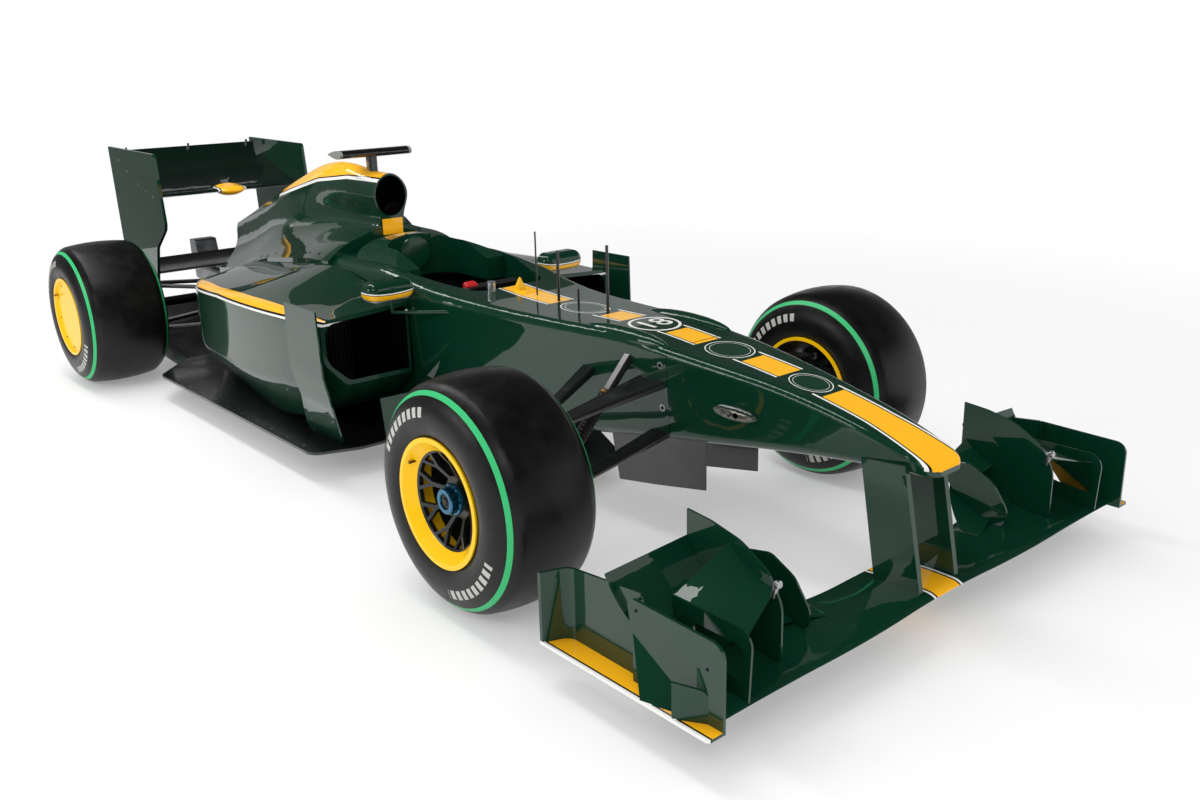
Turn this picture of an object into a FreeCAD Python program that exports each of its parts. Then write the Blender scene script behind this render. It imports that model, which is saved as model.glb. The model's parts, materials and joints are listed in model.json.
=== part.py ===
import FreeCAD, Part
import math
import os

# Open wheel racing car, millimetres. The car faces -Y, its left side is +X, +Z is up and the
# tyres stand on z = 0. A station is a distance behind the front axle, as drawn for the rear axle
# at rear_axle_station: between the axles the stations spread with the real wheelbase, and
# outside them they keep their distance from the nearer axle.

# Overall layout
wheelbase = 3100.0
rear_axle_station = 3100.0
front_overhang = 985.0
rear_overhang = 675.0
overall_width = 1800.0
fit_gap = 0.3
running_gap = 0.1
loft_degree = 2

# Tyres and wheels
tyre_radius = 325.0
front_tyre_width = 322.0
rear_tyre_width = 375.0
front_tyre_outer_x = overall_width / 2.0 - 7.0
rear_tyre_outer_x = overall_width / 2.0 - 5.0
bead_radius = 170.0
shoulder_width = 58.0
shoulder_drop = 10.0
rim_flange_radius = 178.0
barrel_wall = 6.0
dish_radius = 136.0
dish_depth = 28.0
spoke_count = 9
spoke_thickness = 12.0
spoke_width = 10.0
hub_radius = 50.0
nut_radius = 33.0
nut_length = 43.0
spindle_radius = 28.0

# Steering and front uprights
kingpin_x = front_tyre_outer_x - 253.0
kingpin_radius = 9.0
kingpin_half_span = 108.0
arm_eye_radius = 22.0
arm_eye_height = 22.0
brake_disc_radius = 139.0
brake_disc_thickness = 28.0
brake_disc_x = kingpin_x + 76.0
rear_upright_x = rear_tyre_outer_x - 305.0
drive_shaft_radius = 22.0

# Nose and survival cell
tip_sections = 4
nose_tip_station = -925.0
nose_joint_station = -95.0
cell_rear_station = 1640.0
cover_front_station = cell_rear_station + fit_gap
cell_half_width = 298.0
cockpit_front_station = 850.0
cockpit_rear_station = 1585.0
cockpit_half_width = 232.0
cockpit_rear_round = 70.0
cockpit_floor_z = 170.0
blister_x = 132.0
blister_station = 110.0
headrest_top_z = 768.0
headrest_edge_z = 692.0
headrest_front_station = 1210.0
head_space_half = 150.0

# Front wing
wing_leading_station = -962.0
wing_plane_z = 118.0
wing_centre_half = 250.0
pillar_x = 78.0
pillar_thickness = 17.0
endplate_x = overall_width / 2.0 - 50.0
endplate_thickness = 8.0
endplate_rear = -437.0
fence_x = endplate_x - 100.0
inner_fence_x = endplate_x - 265.0
flap_end_x = endplate_x - 420.0
flap_tip_x = flap_end_x - 100.0
sheet = 6.0

# Bodywork
seam_x = 300.0
seam_rear_x = 175.0
seam_bend_station = 1750.0
tail_station = rear_axle_station + 65.0
pod_front_station = 1070.0
skin = 9.0
mouth_radius_x = 68.0
mouth_radius_z = 80.0
mouth_z = 905.0
mouth_depth = 320.0
intake_lip = 15.0

# Floor
plank_bottom_z = 45.0
plank_thickness = 10.0
step_height = 50.0
floor_thickness = 10.0
floor_half_width = overall_width / 2.0 - 212.0
floor_waist_station = 2560.0
floor_rear_half_width = 500.0
floor_front_station = 1080.0
floor_rear_station = rear_axle_station - 340.0
pod_rear_station = floor_rear_station
diffuser_thickness = 9.0
tray_front_station = 430.0
tray_shoulder_station = 700.0
tray_half_width = 250.0
tray_lap = 4.0
plank_half_width = 150.0
diffuser_half_width = rear_tyre_outer_x - rear_tyre_width - 25.0
diffuser_rear_station = rear_axle_station + 340.0
diffuser_exit_height = 160.0

# Power train
engine_length = 600.0
engine_front_station = rear_axle_station - 510.0 - engine_length
engine_half_width = 180.0
engine_height = 400.0
gearbox_length = 640.0
gearbox_half_width = 108.0
gearbox_top_z = 430.0
starter_bore_radius = 16.0
starter_bore_depth = 90.0

# Rear wing
rear_endplate_x = diffuser_half_width - 122.0
rear_endplate_thickness = 14.0
rear_wing_station = rear_axle_station + 85.0
rear_wing_z = 815.0
rear_wing_chord = 315.0
rear_wing_angle = 15.0
rear_flap_chord = 245.0
rear_flap_angle = 29.0
beam_wing_station = rear_axle_station + 200.0
beam_wing_z = 430.0

# Front wing elements and small pieces
fence_front_station = -967.0
fence_rear_station = -727.0
fence_top_z = 290.0
mirror_x = 381.0
mirror_station = 1060.0
mirror_z = 663.0
mirror_half_width = 92.0
mirror_half_height = 36.0
camera_station = 1722.0
camera_z = 1068.0
camera_half_span = 162.0

# Cockpit controls
handwheel_station = 985.0
handwheel_z = 560.0
handwheel_tilt = 22.0
handwheel_half_width = 135.0
handwheel_half_height = 85.0
column_radius = 14.0
column_length = 190.0

front_axle_y = front_overhang - (front_overhang + wheelbase + rear_overhang) / 2.0
rear_axle_y = front_axle_y + wheelbase
reference_z = plank_bottom_z + plank_thickness
floor_bottom_z = reference_z + step_height
floor_top_z = floor_bottom_z + floor_thickness


def vec(x, y, z):
    return FreeCAD.Vector(x, y, z)


def along(station):
    if station <= 0:
        return station
    if station <= rear_axle_station:
        return station * wheelbase / rear_axle_station
    return wheelbase + station - rear_axle_station


def at(x, station, z):
    return vec(x, front_axle_y + along(station), z)


def mirrored(shape):
    return shape.mirror(vec(0, 0, 0), vec(1, 0, 0))


def save(name, *solids):
    shape = solids[0] if len(solids) == 1 else Part.Compound(list(solids))
    shape.exportStep("parts/" + name + ".step")
    print(name, len(shape.Solids), shape.isValid(), round(shape.Volume / 1e6, 3))


def save_pair(name, shape):
    save(name + "_left", shape)
    save(name + "_right", mirrored(shape))


def rounded_loop(points, radii):
    """Closed wire through flat corner points, each corner rounded by its own radius."""
    count = len(points)
    edges = []
    starts = []
    ends = []
    middles = []
    for i in range(count):
        corner = points[i]
        before = (points[i - 1] - corner).normalize()
        after = (points[(i + 1) % count] - corner).normalize()
        radius = radii[i]
        if radius <= 0:
            starts.append(corner)
            ends.append(corner)
            middles.append(None)
            continue
        half_angle = before.getAngle(after) / 2.0
        back_off = radius / math.tan(half_angle)
        bisector = (before + after).normalize()
        centre_distance = radius / math.sin(half_angle)
        starts.append(corner + before * back_off)
        ends.append(corner + after * back_off)
        middles.append(corner + bisector * (centre_distance - radius))
    for i in range(count):
        if middles[i] is not None:
            edges.append(Part.Arc(starts[i], middles[i], ends[i]).toShape())
        following = starts[(i + 1) % count]
        if (following - ends[i]).Length > 1e-6:
            edges.append(Part.makeLine(ends[i], following))
    return Part.Wire(edges)


def prism(points, radii, direction):
    return Part.Face(rounded_loop(points, radii)).extrude(direction)


def side_plate(x, thickness, outline, radii):
    """Upright plate whose side view is an outline of (station, height) pairs."""
    return prism([at(x, s, z) for s, z in outline], radii, vec(thickness, 0, 0))


def plan_plate(z, thickness, outline, radii):
    """Level plate whose plan is an outline of (x, station) pairs."""
    return prism([at(x, s, z) for x, s in outline], radii, vec(0, 0, thickness))


def box(x0, x1, s0, s1, z0, z1):
    return Part.makeBox(x1 - x0, along(s1) - along(s0), z1 - z0, at(x0, s0, z0))


def wing_section(x, station, z, chord, angle, thickness, camber):
    """Closed aerofoil in the plane of one x, leading edge at (station, z), nose down camber."""
    fractions = [0.0, 0.04, 0.16, 0.4, 0.7, 1.0]
    upper = []
    lower = []
    tilt = math.radians(angle)
    for f in fractions:
        shape = 1.4845 * math.sqrt(f) - 0.63 * f - 1.758 * f ** 2 + 1.4215 * f ** 3 - 0.5075 * f ** 4
        half = thickness * shape + 1.0 * f
        sag = -4.0 * camber * f * (1.0 - f)
        for side, line in ((1.0, upper), (-1.0, lower)):
            u = f * chord
            w = sag + side * half
            line.append(at(x, station + u * math.cos(tilt) - w * math.sin(tilt),
                           z + u * math.sin(tilt) + w * math.cos(tilt)))
    curve = Part.BSplineCurve()
    curve.interpolate(list(reversed(upper)) + lower[1:])
    return Part.Wire([curve.toShape(), Part.makeLine(lower[-1], upper[-1])])


def skinned(wires):
    """Smooth solid through its sections, of low degree so that it does not swing between them."""
    return Part.makeLoft(wires, True, False, False, loft_degree)


def wing(sections):
    wires = [wing_section(*one) for one in sections]
    return Part.makeLoft(wires, True, True) if len(wires) == 2 else skinned(wires)


def body_section(station, top, bottom, half_top, half_bottom, round_top, round_bottom):
    """Four sided body section across the car with rounded corners."""
    corners = [at(half_top, station, top), at(-half_top, station, top),
               at(-half_bottom, station, bottom), at(half_bottom, station, bottom)]
    return rounded_loop(corners, [round_top, round_top, round_bottom, round_bottom])


def tube_along(start, end, radius):
    direction = end - start
    return Part.makeCylinder(radius, direction.Length, start, direction)


def egg(centre, half_length, radius, lengthways):
    """Ellipse turned about its long axis, which lies along the car or across it."""
    half = Part.ArcOfEllipse(Part.Ellipse(vec(0, 0, 0), half_length, radius), 0, math.pi).toShape()
    axis = Part.makeLine(vec(-half_length, 0, 0), vec(half_length, 0, 0))
    shape = Part.Face(Part.Wire([half, axis])).revolve(vec(0, 0, 0), vec(1, 0, 0), 360)
    if lengthways:
        shape.rotate(vec(0, 0, 0), vec(0, 0, 1), 90)
    return shape.translated(centre)


# Tyres and wheels
def tyre(outer_x, width):
    inner_x = outer_x - width
    middle = outer_x - width / 2.0
    crown = tyre_radius
    bulge = 0.5 * (bead_radius + crown)
    rise = crown - shoulder_drop
    side = [vec(outer_x - 14, 0, bead_radius), vec(outer_x, 0, bulge - 6),
            vec(outer_x - 0.35 * shoulder_width, 0, rise - 28), vec(outer_x - shoulder_width, 0, rise)]
    other = [vec(inner_x + shoulder_width, 0, rise), vec(inner_x + 0.35 * shoulder_width, 0, rise - 28),
             vec(inner_x, 0, bulge - 6), vec(inner_x + 14, 0, bead_radius)]
    tread = Part.Arc(side[-1], vec(middle, 0, crown), other[0]).toShape()
    wall_out = Part.BSplineCurve()
    wall_out.interpolate(side)
    wall_in = Part.BSplineCurve()
    wall_in.interpolate(other)
    base = Part.makeLine(other[-1], side[0])
    face = Part.Face(Part.Wire([wall_out.toShape(), tread, wall_in.toShape(), base]))
    return face.revolve(vec(0, 0, 0), vec(1, 0, 0), 360)


def revolved(profile):
    """Solid of revolution about the axle from (x, radius) points."""
    face = Part.Face(Part.makePolygon([vec(x, 0, r) for x, r in profile + profile[:1]]))
    return face.revolve(vec(0, 0, 0), vec(1, 0, 0), 360)


def barrel_profile(outer_x, width, inside):
    """Well of the wheel from its inner edge round to the outer flange."""
    lip = 5.0
    seat = bead_radius - fit_gap
    flange_out = outer_x - 2
    flange_in = outer_x - width + 2
    return [(flange_in, inside), (flange_in, rim_flange_radius), (flange_in + lip, rim_flange_radius),
            (flange_in + lip + 3, seat), (flange_out - lip - 3, seat), (flange_out - lip, rim_flange_radius),
            (flange_out, rim_flange_radius), (flange_out, inside + 1)]


def window(corners, turn, x0, x1):
    """Opening through the wheel face; corners are (radius, sideways) pairs about one spoke."""
    points = []
    for radius, side in corners:
        y = radius * math.sin(turn) + side * math.cos(turn)
        z = radius * math.cos(turn) - side * math.sin(turn)
        points.append(vec(x0, y, z))
    return prism(points, [3.0] * len(corners), vec(x1 - x0, 0, 0))


def front_rim():
    """Deep dished wheel with forked spokes and one centre nut."""
    outer = front_tyre_outer_x
    inside = bead_radius - fit_gap - barrel_wall
    lip_x = outer - 4
    face_x = lip_x - dish_depth
    hub_x = outer - 33 - nut_length
    back = hub_x - 22
    profile = barrel_profile(outer, front_tyre_width, inside)
    profile += [(lip_x, inside), (face_x, dish_radius), (hub_x, hub_radius), (hub_x, nut_radius),
                (hub_x + nut_length - 4, nut_radius), (hub_x + nut_length, nut_radius - 4),
                (hub_x + nut_length, 0), (hub_x + 20, 0), (hub_x + 20, spindle_radius + running_gap),
                (back, spindle_radius + running_gap), (back, hub_radius),
                (hub_x - spoke_thickness, hub_radius), (face_x - spoke_thickness, dish_radius),
                (lip_x - 20, inside)]
    shape = revolved(profile)
    half = math.pi / spoke_count
    fork = 0.5 * (hub_radius + dish_radius)
    bar = spoke_width / 2.0
    edge = dish_radius - 5
    near = hub_radius + 8
    cuts = []
    for i in range(spoke_count):
        turn = 2.0 * half * i
        tip = edge * math.sin(half / 2.0) - bar
        cuts.append(window([(fork + 9, 0), (edge, -tip), (edge, tip)], turn, back, outer))
        between = [(near, -near * math.sin(half) + bar), (fork, -fork * math.sin(half) + bar),
                   (edge, -tip), (edge, tip), (fork, fork * math.sin(half) - bar),
                   (near, near * math.sin(half) - bar)]
        cuts.append(window(between, turn + half, back, outer))
    return shape.cut(cuts)


def rear_rim():
    """Wheel closed by a flat cover over the hub."""
    outer = rear_tyre_outer_x
    inside = bead_radius - fit_gap - barrel_wall
    cover_x = outer - 14
    back = cover_x - 86
    profile = barrel_profile(outer, rear_tyre_width, inside)
    profile += [(cover_x, inside - 6), (cover_x, 0), (cover_x - 20, 0),
                (cover_x - 20, spindle_radius + running_gap), (back, spindle_radius + running_gap),
                (back, hub_radius), (cover_x - 12, hub_radius), (cover_x - 12, inside)]
    return revolved(profile)


def make_wheels():
    for end, axle_y, tyre_shape, rim in (
            ("front", front_axle_y, tyre(front_tyre_outer_x, front_tyre_width), front_rim()),
            ("rear", rear_axle_y, tyre(rear_tyre_outer_x, rear_tyre_width), rear_rim())):
        place = vec(0, axle_y, tyre_radius)
        save_pair("tyre_" + end, tyre_shape.translated(place))
        save_pair("rim_" + end, rim.translated(place))


# Front upright with its brake, turning about the king pin
def make_knuckle():
    axle_z = tyre_radius
    hub_inner = front_tyre_outer_x - 33 - nut_length
    body = Part.makeLoft([
        body_block(kingpin_x + 14, 46, axle_z - 96, axle_z + 96),
        body_block(kingpin_x + 62, 38, axle_z - 60, axle_z + 60)], True, True)
    spindle = tube_along(at(kingpin_x + 30, 0, axle_z), at(hub_inner + 15, 0, axle_z), spindle_radius)
    disc = tube_along(at(brake_disc_x, 0, axle_z), at(brake_disc_x + brake_disc_thickness, 0, axle_z),
                      brake_disc_radius)
    shape = body.fuse([spindle, disc])
    for side in (1.0, -1.0):
        middle_z = axle_z + side * kingpin_half_span
        reach = arm_eye_height / 2.0 + fit_gap
        for z0, z1 in ((middle_z + reach, middle_z + reach + 9), (middle_z - reach - 9, middle_z - reach)):
            lug = box(kingpin_x - 16, kingpin_x + 40, -16, 16, z0, z1)
            shape = shape.fuse(lug)
        pin = tube_along(at(kingpin_x, 0, middle_z - reach - 8), at(kingpin_x, 0, middle_z + reach + 8),
                         kingpin_radius)
        web = box(kingpin_x + 30, kingpin_x + 50, -14, 14, middle_z - reach - 9, middle_z + reach + 9)
        shape = shape.fuse([pin, web])
    duct = box(kingpin_x + 8, kingpin_x + 30, -120, -30, axle_z - 70, axle_z + 70)
    return shape.fuse(duct)


def body_block(x, half, z0, z1):
    corners = [at(x, -half, z0), at(x, half, z0), at(x, half, z1), at(x, -half, z1)]
    return Part.makePolygon(corners + corners[:1])


def arm_leg(start, end, chord_start, chord_end, thick_start, thick_end):
    """Suspension leg of flattened oval section between two points."""
    sections = []
    along = (end - start).normalize()
    for point, chord, thickness in ((start, chord_start, thick_start), (end, chord_end, thick_end)):
        wide = vec(0, 1, 0)
        thick = along.cross(wide).normalize()
        half = wide * (chord / 2.0)
        flat = thick * (thickness / 2.0)
        front = Part.Arc(point - half * 0.6 + flat, point - half, point - half * 0.6 - flat).toShape()
        rear = Part.Arc(point + half * 0.6 - flat, point + half, point + half * 0.6 + flat).toShape()
        low = Part.makeLine(point - half * 0.6 - flat, point + half * 0.6 - flat)
        top = Part.makeLine(point + half * 0.6 + flat, point - half * 0.6 + flat)
        sections.append(Part.Wire([front, low, rear, top]))
    return Part.makeLoft(sections, True, True)


def eye(x, station, z):
    ring = Part.makeCylinder(arm_eye_radius, arm_eye_height, at(x, station, z - arm_eye_height / 2.0))
    return ring


def make_front_arms(carrier):
    upper_z = tyre_radius + kingpin_half_span
    lower_z = tyre_radius - kingpin_half_span
    root_x = 120.0
    tip = kingpin_x - 14
    upper = [arm_leg(at(root_x, -32, 512), at(tip, 0, upper_z), 118, 28, 22, 12),
             arm_leg(at(root_x, 262, 500), at(tip, 0, upper_z), 64, 28, 34, 12),
             eye(kingpin_x, 0, upper_z)]
    lower = [arm_leg(at(root_x, -48, 352), at(tip, 0, lower_z), 74, 28, 22, 12),
             arm_leg(at(root_x, 345, 320), at(tip, 0, lower_z), 60, 28, 22, 12),
             eye(kingpin_x, 0, lower_z)]
    push_rod = arm_leg(at(root_x, 66, 600), at(kingpin_x - 84, 4, lower_z + 8), 34, 34, 24, 20)
    shape = upper[0].fuse(upper[1:] + lower + [push_rod]).cut(carrier)
    bores = [Part.makeCylinder(kingpin_radius + running_gap, 60, at(kingpin_x, 0, z - 30))
             for z in (upper_z, lower_z)]
    return shape.cut(bores)


def make_rear_arms(carrier):
    axle = rear_axle_station
    tip = rear_upright_x + 20
    beyond = box(rear_upright_x, rear_upright_x + 100, axle - 200, axle + 200, 0, 700)
    upper = [arm_leg(at(60, axle - 290, 372), at(tip, axle - 12, 435), 50, 40, 16, 16),
             arm_leg(at(60, axle + 60, 372), at(tip, axle + 12, 435), 50, 40, 16, 16)]
    lower = [arm_leg(at(60, axle - 300, 225), at(tip, axle - 12, 215), 54, 40, 16, 16),
             arm_leg(at(60, axle + 80, 245), at(tip, axle + 12, 215), 54, 40, 16, 16)]
    ends = [carrier, beyond]
    return upper[0].fuse(upper[1]).cut(ends), lower[0].fuse(lower[1]).cut(ends)


def make_rear_upright(carrier):
    axle = rear_axle_station
    axle_z = tyre_radius
    body = box(rear_upright_x + fit_gap, rear_upright_x + 70, axle - 46, axle + 46,
               axle_z - 125, axle_z + 125)
    hub_inner = rear_tyre_outer_x - 100
    spindle = tube_along(at(640, axle, axle_z), at(hub_inner + 60, axle, axle_z), spindle_radius)
    disc = tube_along(at(690, axle, axle_z), at(718, axle, axle_z), brake_disc_radius)
    shaft = tube_along(at(60, axle, axle_z), at(rear_upright_x + 10, axle, axle_z), drive_shaft_radius)
    return body.fuse([spindle, disc, shaft]).cut(carrier)


# Nose
def nose_sections():
    return [(nose_tip_station - 10, 444, 430, 42, 38, 6, 6),
            (nose_tip_station + 4, 456, 427, 64, 56, 10, 10),
            (nose_tip_station + 25, 466, 426, 77, 66, 12, 14),
            (-855, 483, 428, 83, 70, 14, 20),
            (-742, 518, 417, 92, 80, 18, 26),
            (-493, 571, 388, 112, 98, 22, 34),
            (-297, 598, 362, 139, 118, 24, 38),
            (nose_joint_station - fit_gap, 618, 335, 158, 138, 26, 40)]


def make_nose():
    wires = [body_section(*one) for one in nose_sections()]
    return skinned(wires[tip_sections - 1:]).fuse(skinned(wires[:tip_sections]))


# Survival cell with its open cockpit
def make_cell():
    """Chassis tub: raised round shoulders beside the cockpit, blisters over the front suspension."""
    sections = [(nose_joint_station, 618, 335, 158, 138, 26, 40),
                (160, 634, 292, 176, 147, 28, 44),
                (440, 632, 238, 203, 161, 30, 50),
                (750, 640, 162, 243, 198, 34, 60),
                (1000, 666, floor_top_z + 4, 289, 254, 46, 42),
                (1220, 696, floor_top_z, cell_half_width, 262, 64, 40),
                (1430, 699, floor_top_z, cell_half_width, 262, 68, 40),
                (cell_rear_station, 700, floor_top_z, cell_half_width, 262, 68, 40)]
    room = box(-seam_x, seam_x, nose_joint_station - 10, cell_rear_station,
               floor_top_z + fit_gap, headrest_top_z)
    shape = skinned([body_section(*one) for one in sections])
    blisters = [egg(at(side * blister_x, blister_station, 616), 190, 32, True) for side in (1, -1)]
    beside_nose = box(-300, 300, nose_joint_station, 500, 400, 700)
    shape = shape.common(room).fuse([one.common(beside_nose) for one in blisters])
    half = cockpit_half_width
    opening = plan_plate(cockpit_floor_z, 800,
                         [(half, cockpit_rear_station), (half, 1150), (150, cockpit_front_station),
                          (-150, cockpit_front_station), (-half, 1150), (-half, cockpit_rear_station)],
                         [cockpit_rear_round, 160, 60, 60, 160, cockpit_rear_round])
    legs = box(-130, 130, 420, cockpit_front_station + 60, 290, 465)
    axis = handwheel_axis()
    centre = at(0, handwheel_station, handwheel_z)
    bearing = tube_along(centre - axis * 100, centre - axis * (column_length + 5),
                         column_radius + running_gap)
    return shape.cut([opening, legs, bearing])


def make_headrest():
    """Crowned pad round the driver's head, open to the front."""
    half = cockpit_half_width - fit_gap
    rear = cockpit_rear_station - fit_gap
    front = headrest_front_station
    outer = plan_plate(600, 200, [(half, rear), (half, front), (-half, front), (-half, rear)],
                       [cockpit_rear_round, 0, 0, cockpit_rear_round])
    arch = Part.Arc(at(half, front, headrest_edge_z), at(0, front, headrest_top_z),
                    at(-half, front, headrest_edge_z)).toShape()
    base = Part.makePolygon([at(-half, front, headrest_edge_z), at(-half, front, 600), at(half, front, 600),
                             at(half, front, headrest_edge_z)])
    crown = Part.Face(Part.Wire([arch] + base.Edges)).extrude(vec(0, rear - front, 0))
    side = side_plate(-half, 2 * half, [(front, 600), (rear, 600), (rear, 752), (1540, headrest_top_z + 1),
                                        (1470, headrest_top_z + 1), (1330, 728), (front, 684)],
                      [0, 0, 20, 30, 60, 160, 0])
    w = head_space_half
    head_space = plan_plate(590, 200, [(w, 1490), (w, front - 60), (-w, front - 60), (-w, 1490)],
                            [80, 0, 0, 80])
    return outer.common(crown).common(side).cut(head_space)


def make_seat():
    outline = [(1560, 560), (1560, 300), (1500, cockpit_floor_z + fit_gap), (1010, cockpit_floor_z + fit_gap),
               (1010, 250), (1060, 250), (1440, 232), (1500, 560)]
    shape = side_plate(-190, 380, outline, [8, 60, 60, 10, 10, 30, 70, 10])
    hollow = side_plate(-150, 300, [(1530, 700), (1530, 330), (1480, 205), (1000, 215), (1000, 700)],
                        [0, 60, 60, 0, 0])
    return shape.cut(hollow)


def handwheel_axis():
    tilt = math.radians(handwheel_tilt)
    return vec(0, math.cos(tilt), math.sin(tilt))


def make_handwheel():
    """Handwheel with two grips, drawn flat and then set square to its column."""
    w = handwheel_half_width
    h = handwheel_half_height
    outline = [vec(-w, -h, 0), vec(w, -h, 0), vec(w, h, 0), vec(-w, h, 0)]
    plate = prism(outline, [40] * 4, vec(0, 0, 26))
    for side in (1, -1):
        hole = prism([vec(side * (w - 26), -h + 26, -1), vec(side * (w - 62), -h + 26, -1),
                      vec(side * (w - 62), h - 26, -1), vec(side * (w - 26), h - 26, -1)],
                     [12] * 4, vec(0, 0, 40))
        plate = plate.cut(hole)
    boss = Part.makeCylinder(30, 30, vec(0, 0, -30))
    column = Part.makeCylinder(column_radius, column_length, vec(0, 0, -column_length))
    shape = plate.fuse([boss, column])
    shape.Placement = FreeCAD.Placement(at(0, handwheel_station, handwheel_z),
                                        FreeCAD.Rotation(vec(0, 0, 1), handwheel_axis()))
    return shape


# Engine cover with the air intake over the driver's head
cover_sections = [
    # share of the length, top, airbox half width and height, neck, shoulder, flank, base height
    (0.0, 993, 77, 905, 54, 815, 185, 748, 276, 700, 645),
    (0.105, 1000, 78, 910, 62, 812, 182, 738, 278, 684, 640),
    (0.275, 1014, 70, 912, 66, 800, 172, 700, 262, 640, 600),
    (0.498, 927, 52, 850, 60, 760, 132, 655, 215, 592, 560),
    (0.760, 783, 28, 705, 44, 630, 96, 565, 160, 505, 480),
    (1.0, 652, 12, 590, 22, 548, 48, 505, 84, 468, 448)]
cover_base_half = 330.0
cover_skirt = 40.0


def cover_wire(section, inset, drop):
    share, top, wa, za, wn, zn, ws, zs, wf, zf, base = section
    s = cover_front_station + share * (tail_station - cover_front_station)
    crown = (wa * 0.8 - inset * 0.6, za + 0.57 * (top - za) - inset * 0.6)
    half = [(0.0, top - inset), crown, (wa - inset, za), (wn - inset * 0.8, zn - inset * 0.3),
            (ws - inset * 0.5, zs - inset), (wf - inset * 0.5, zf - inset), (cover_base_half, base - inset)]
    points = [at(-x, s, z) for x, z in reversed(half)] + [at(x, s, z) for x, z in half[1:]]
    curve = Part.BSplineCurve()
    curve.interpolate(points)
    low_left = at(-cover_base_half, s, base - cover_skirt - drop)
    low_right = at(cover_base_half, s, base - cover_skirt - drop)
    return Part.Wire([curve.toShape(), Part.makeLine(points[-1], low_right),
                      Part.makeLine(low_right, low_left), Part.makeLine(low_left, points[0])])


def seam_prism(gap):
    """Everything between the two seams where the engine cover meets the side pods."""
    front = 900.0
    rear = 3300.0
    share = (rear - seam_bend_station) / (pod_rear_station - seam_bend_station)
    rear_x = seam_x - (seam_x - seam_rear_x) * share + gap
    outline = [(seam_x + gap, front), (seam_x + gap, seam_bend_station), (rear_x, rear),
               (-rear_x, rear), (-seam_x - gap, seam_bend_station), (-seam_x - gap, front)]
    return plan_plate(0, 1300, outline, [0] * 6)


def make_cover():
    outer = skinned([cover_wire(one, 0, 0) for one in cover_sections])
    thin = [cover_wire(one, skin, 60) for one in cover_sections[:-1]]
    inner = skinned(thin)
    trimmed = outer.common(seam_prism(-fit_gap / 2.0))
    keep_front = box(-400, 400, cover_front_station + skin, 2780, 300, 1100)
    bay = inner.common(keep_front).common(seam_prism(-skin))
    upper = box(-400, 400, 1500, 2100, 760, 1100)
    bay = bay.cut(upper)
    mouth = Part.Ellipse(at(0, 1630, mouth_z), mouth_radius_z, mouth_radius_x)
    mouth.Axis = vec(0, 1, 0)
    mouth.XAxis = vec(0, 0, 1)
    duct = Part.Face(Part.Wire([mouth.toShape()])).extrude(vec(0, mouth_depth, 0))
    over_gearbox = box(-gearbox_half_width - 8, gearbox_half_width + 8, 2700, tail_station + 5,
                       0, gearbox_top_z + 8)
    return trimmed.cut([bay, duct, over_gearbox])


# Side pods with their radiator intakes
pod_sections = [
    # share of the length, outer x, inner top, outer top, bottom outer x, bottom
    (0.0, 640, 622, 590, 560, 352),
    (0.136, 655, 650, 590, 560, 200),
    (0.337, 655, 730, 582, 545, floor_top_z),
    (0.550, 630, 658, 566, 505, floor_top_z),
    (0.757, 565, 606, 540, 440, floor_top_z),
    (0.905, 440, 580, 500, 330, floor_top_z),
    (1.0, 345, 530, 470, 265, floor_top_z)]


def pod_wire(section, inset):
    share, outer, inner_top, outer_top, low_x, low = section
    s = pod_front_station + share * (pod_rear_station - pod_front_station)
    inner_x = 60.0
    corners = [at(inner_x, s, inner_top - inset), at(outer - inset, s, outer_top - inset),
               at(outer - inset, s, low + 0.38 * (outer_top - low)),
               at(low_x - inset, s, low + inset + fit_gap), at(inner_x, s, low + inset + fit_gap)]
    return rounded_loop(corners, [0, 40, 70, 46, 0])


def make_pod():
    """Hollow side pod, its intake lip thicker than its skin."""
    outer = skinned([pod_wire(one, 0) for one in pod_sections])
    insets = [intake_lip, skin + 3] + [skin] * (len(pod_sections) - 2)
    inner = skinned([pod_wire(one, inset) for one, inset in zip(pod_sections, insets)])
    tunnel = inner.cut(seam_prism(skin))
    under = box(-1000, 1000, 900, 3000, 0, floor_top_z + fit_gap)
    return outer.cut(seam_prism(fit_gap / 2.0)).cut([tunnel, under])


# Floor, plank and diffuser
def make_floor():
    w = floor_half_width
    front = floor_front_station
    waist = floor_waist_station
    rear = floor_rear_half_width
    outline = [(w, front + 60), (w, waist), (rear, floor_rear_station), (-rear, floor_rear_station),
               (-w, waist), (-w, front + 60), (-520, front), (520, front)]
    slab = plan_plate(floor_bottom_z, floor_thickness, outline, [60, 60, 40, 40, 60, 60, 80, 80])
    half = tray_half_width
    shoulder = tray_shoulder_station
    tray = plan_plate(reference_z, step_height + tray_lap,
                      [(half, shoulder), (half, floor_rear_station), (-half, floor_rear_station),
                       (-half, shoulder), (-150, tray_front_station), (150, tray_front_station)],
                      [60, 0, 0, 60, 40, 40])
    ramp = side_plate(-400, 800, [(tray_front_station - 20, reference_z + 16), (1080, floor_bottom_z + 30),
                                  (tray_front_station - 20, floor_bottom_z + 30)], [0, 0, 0])
    return slab.fuse(tray.cut(ramp))


def make_plank():
    return plan_plate(plank_bottom_z, plank_thickness,
                      [(plank_half_width, tray_front_station + 60),
                       (plank_half_width, rear_axle_station - 60),
                       (-plank_half_width, rear_axle_station - 60),
                       (-plank_half_width, tray_front_station + 60)],
                      [30, 10, 10, 30])


def roof_z(station):
    share = (station - floor_rear_station) / (diffuser_rear_station - floor_rear_station)
    return floor_top_z + diffuser_exit_height * share


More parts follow.
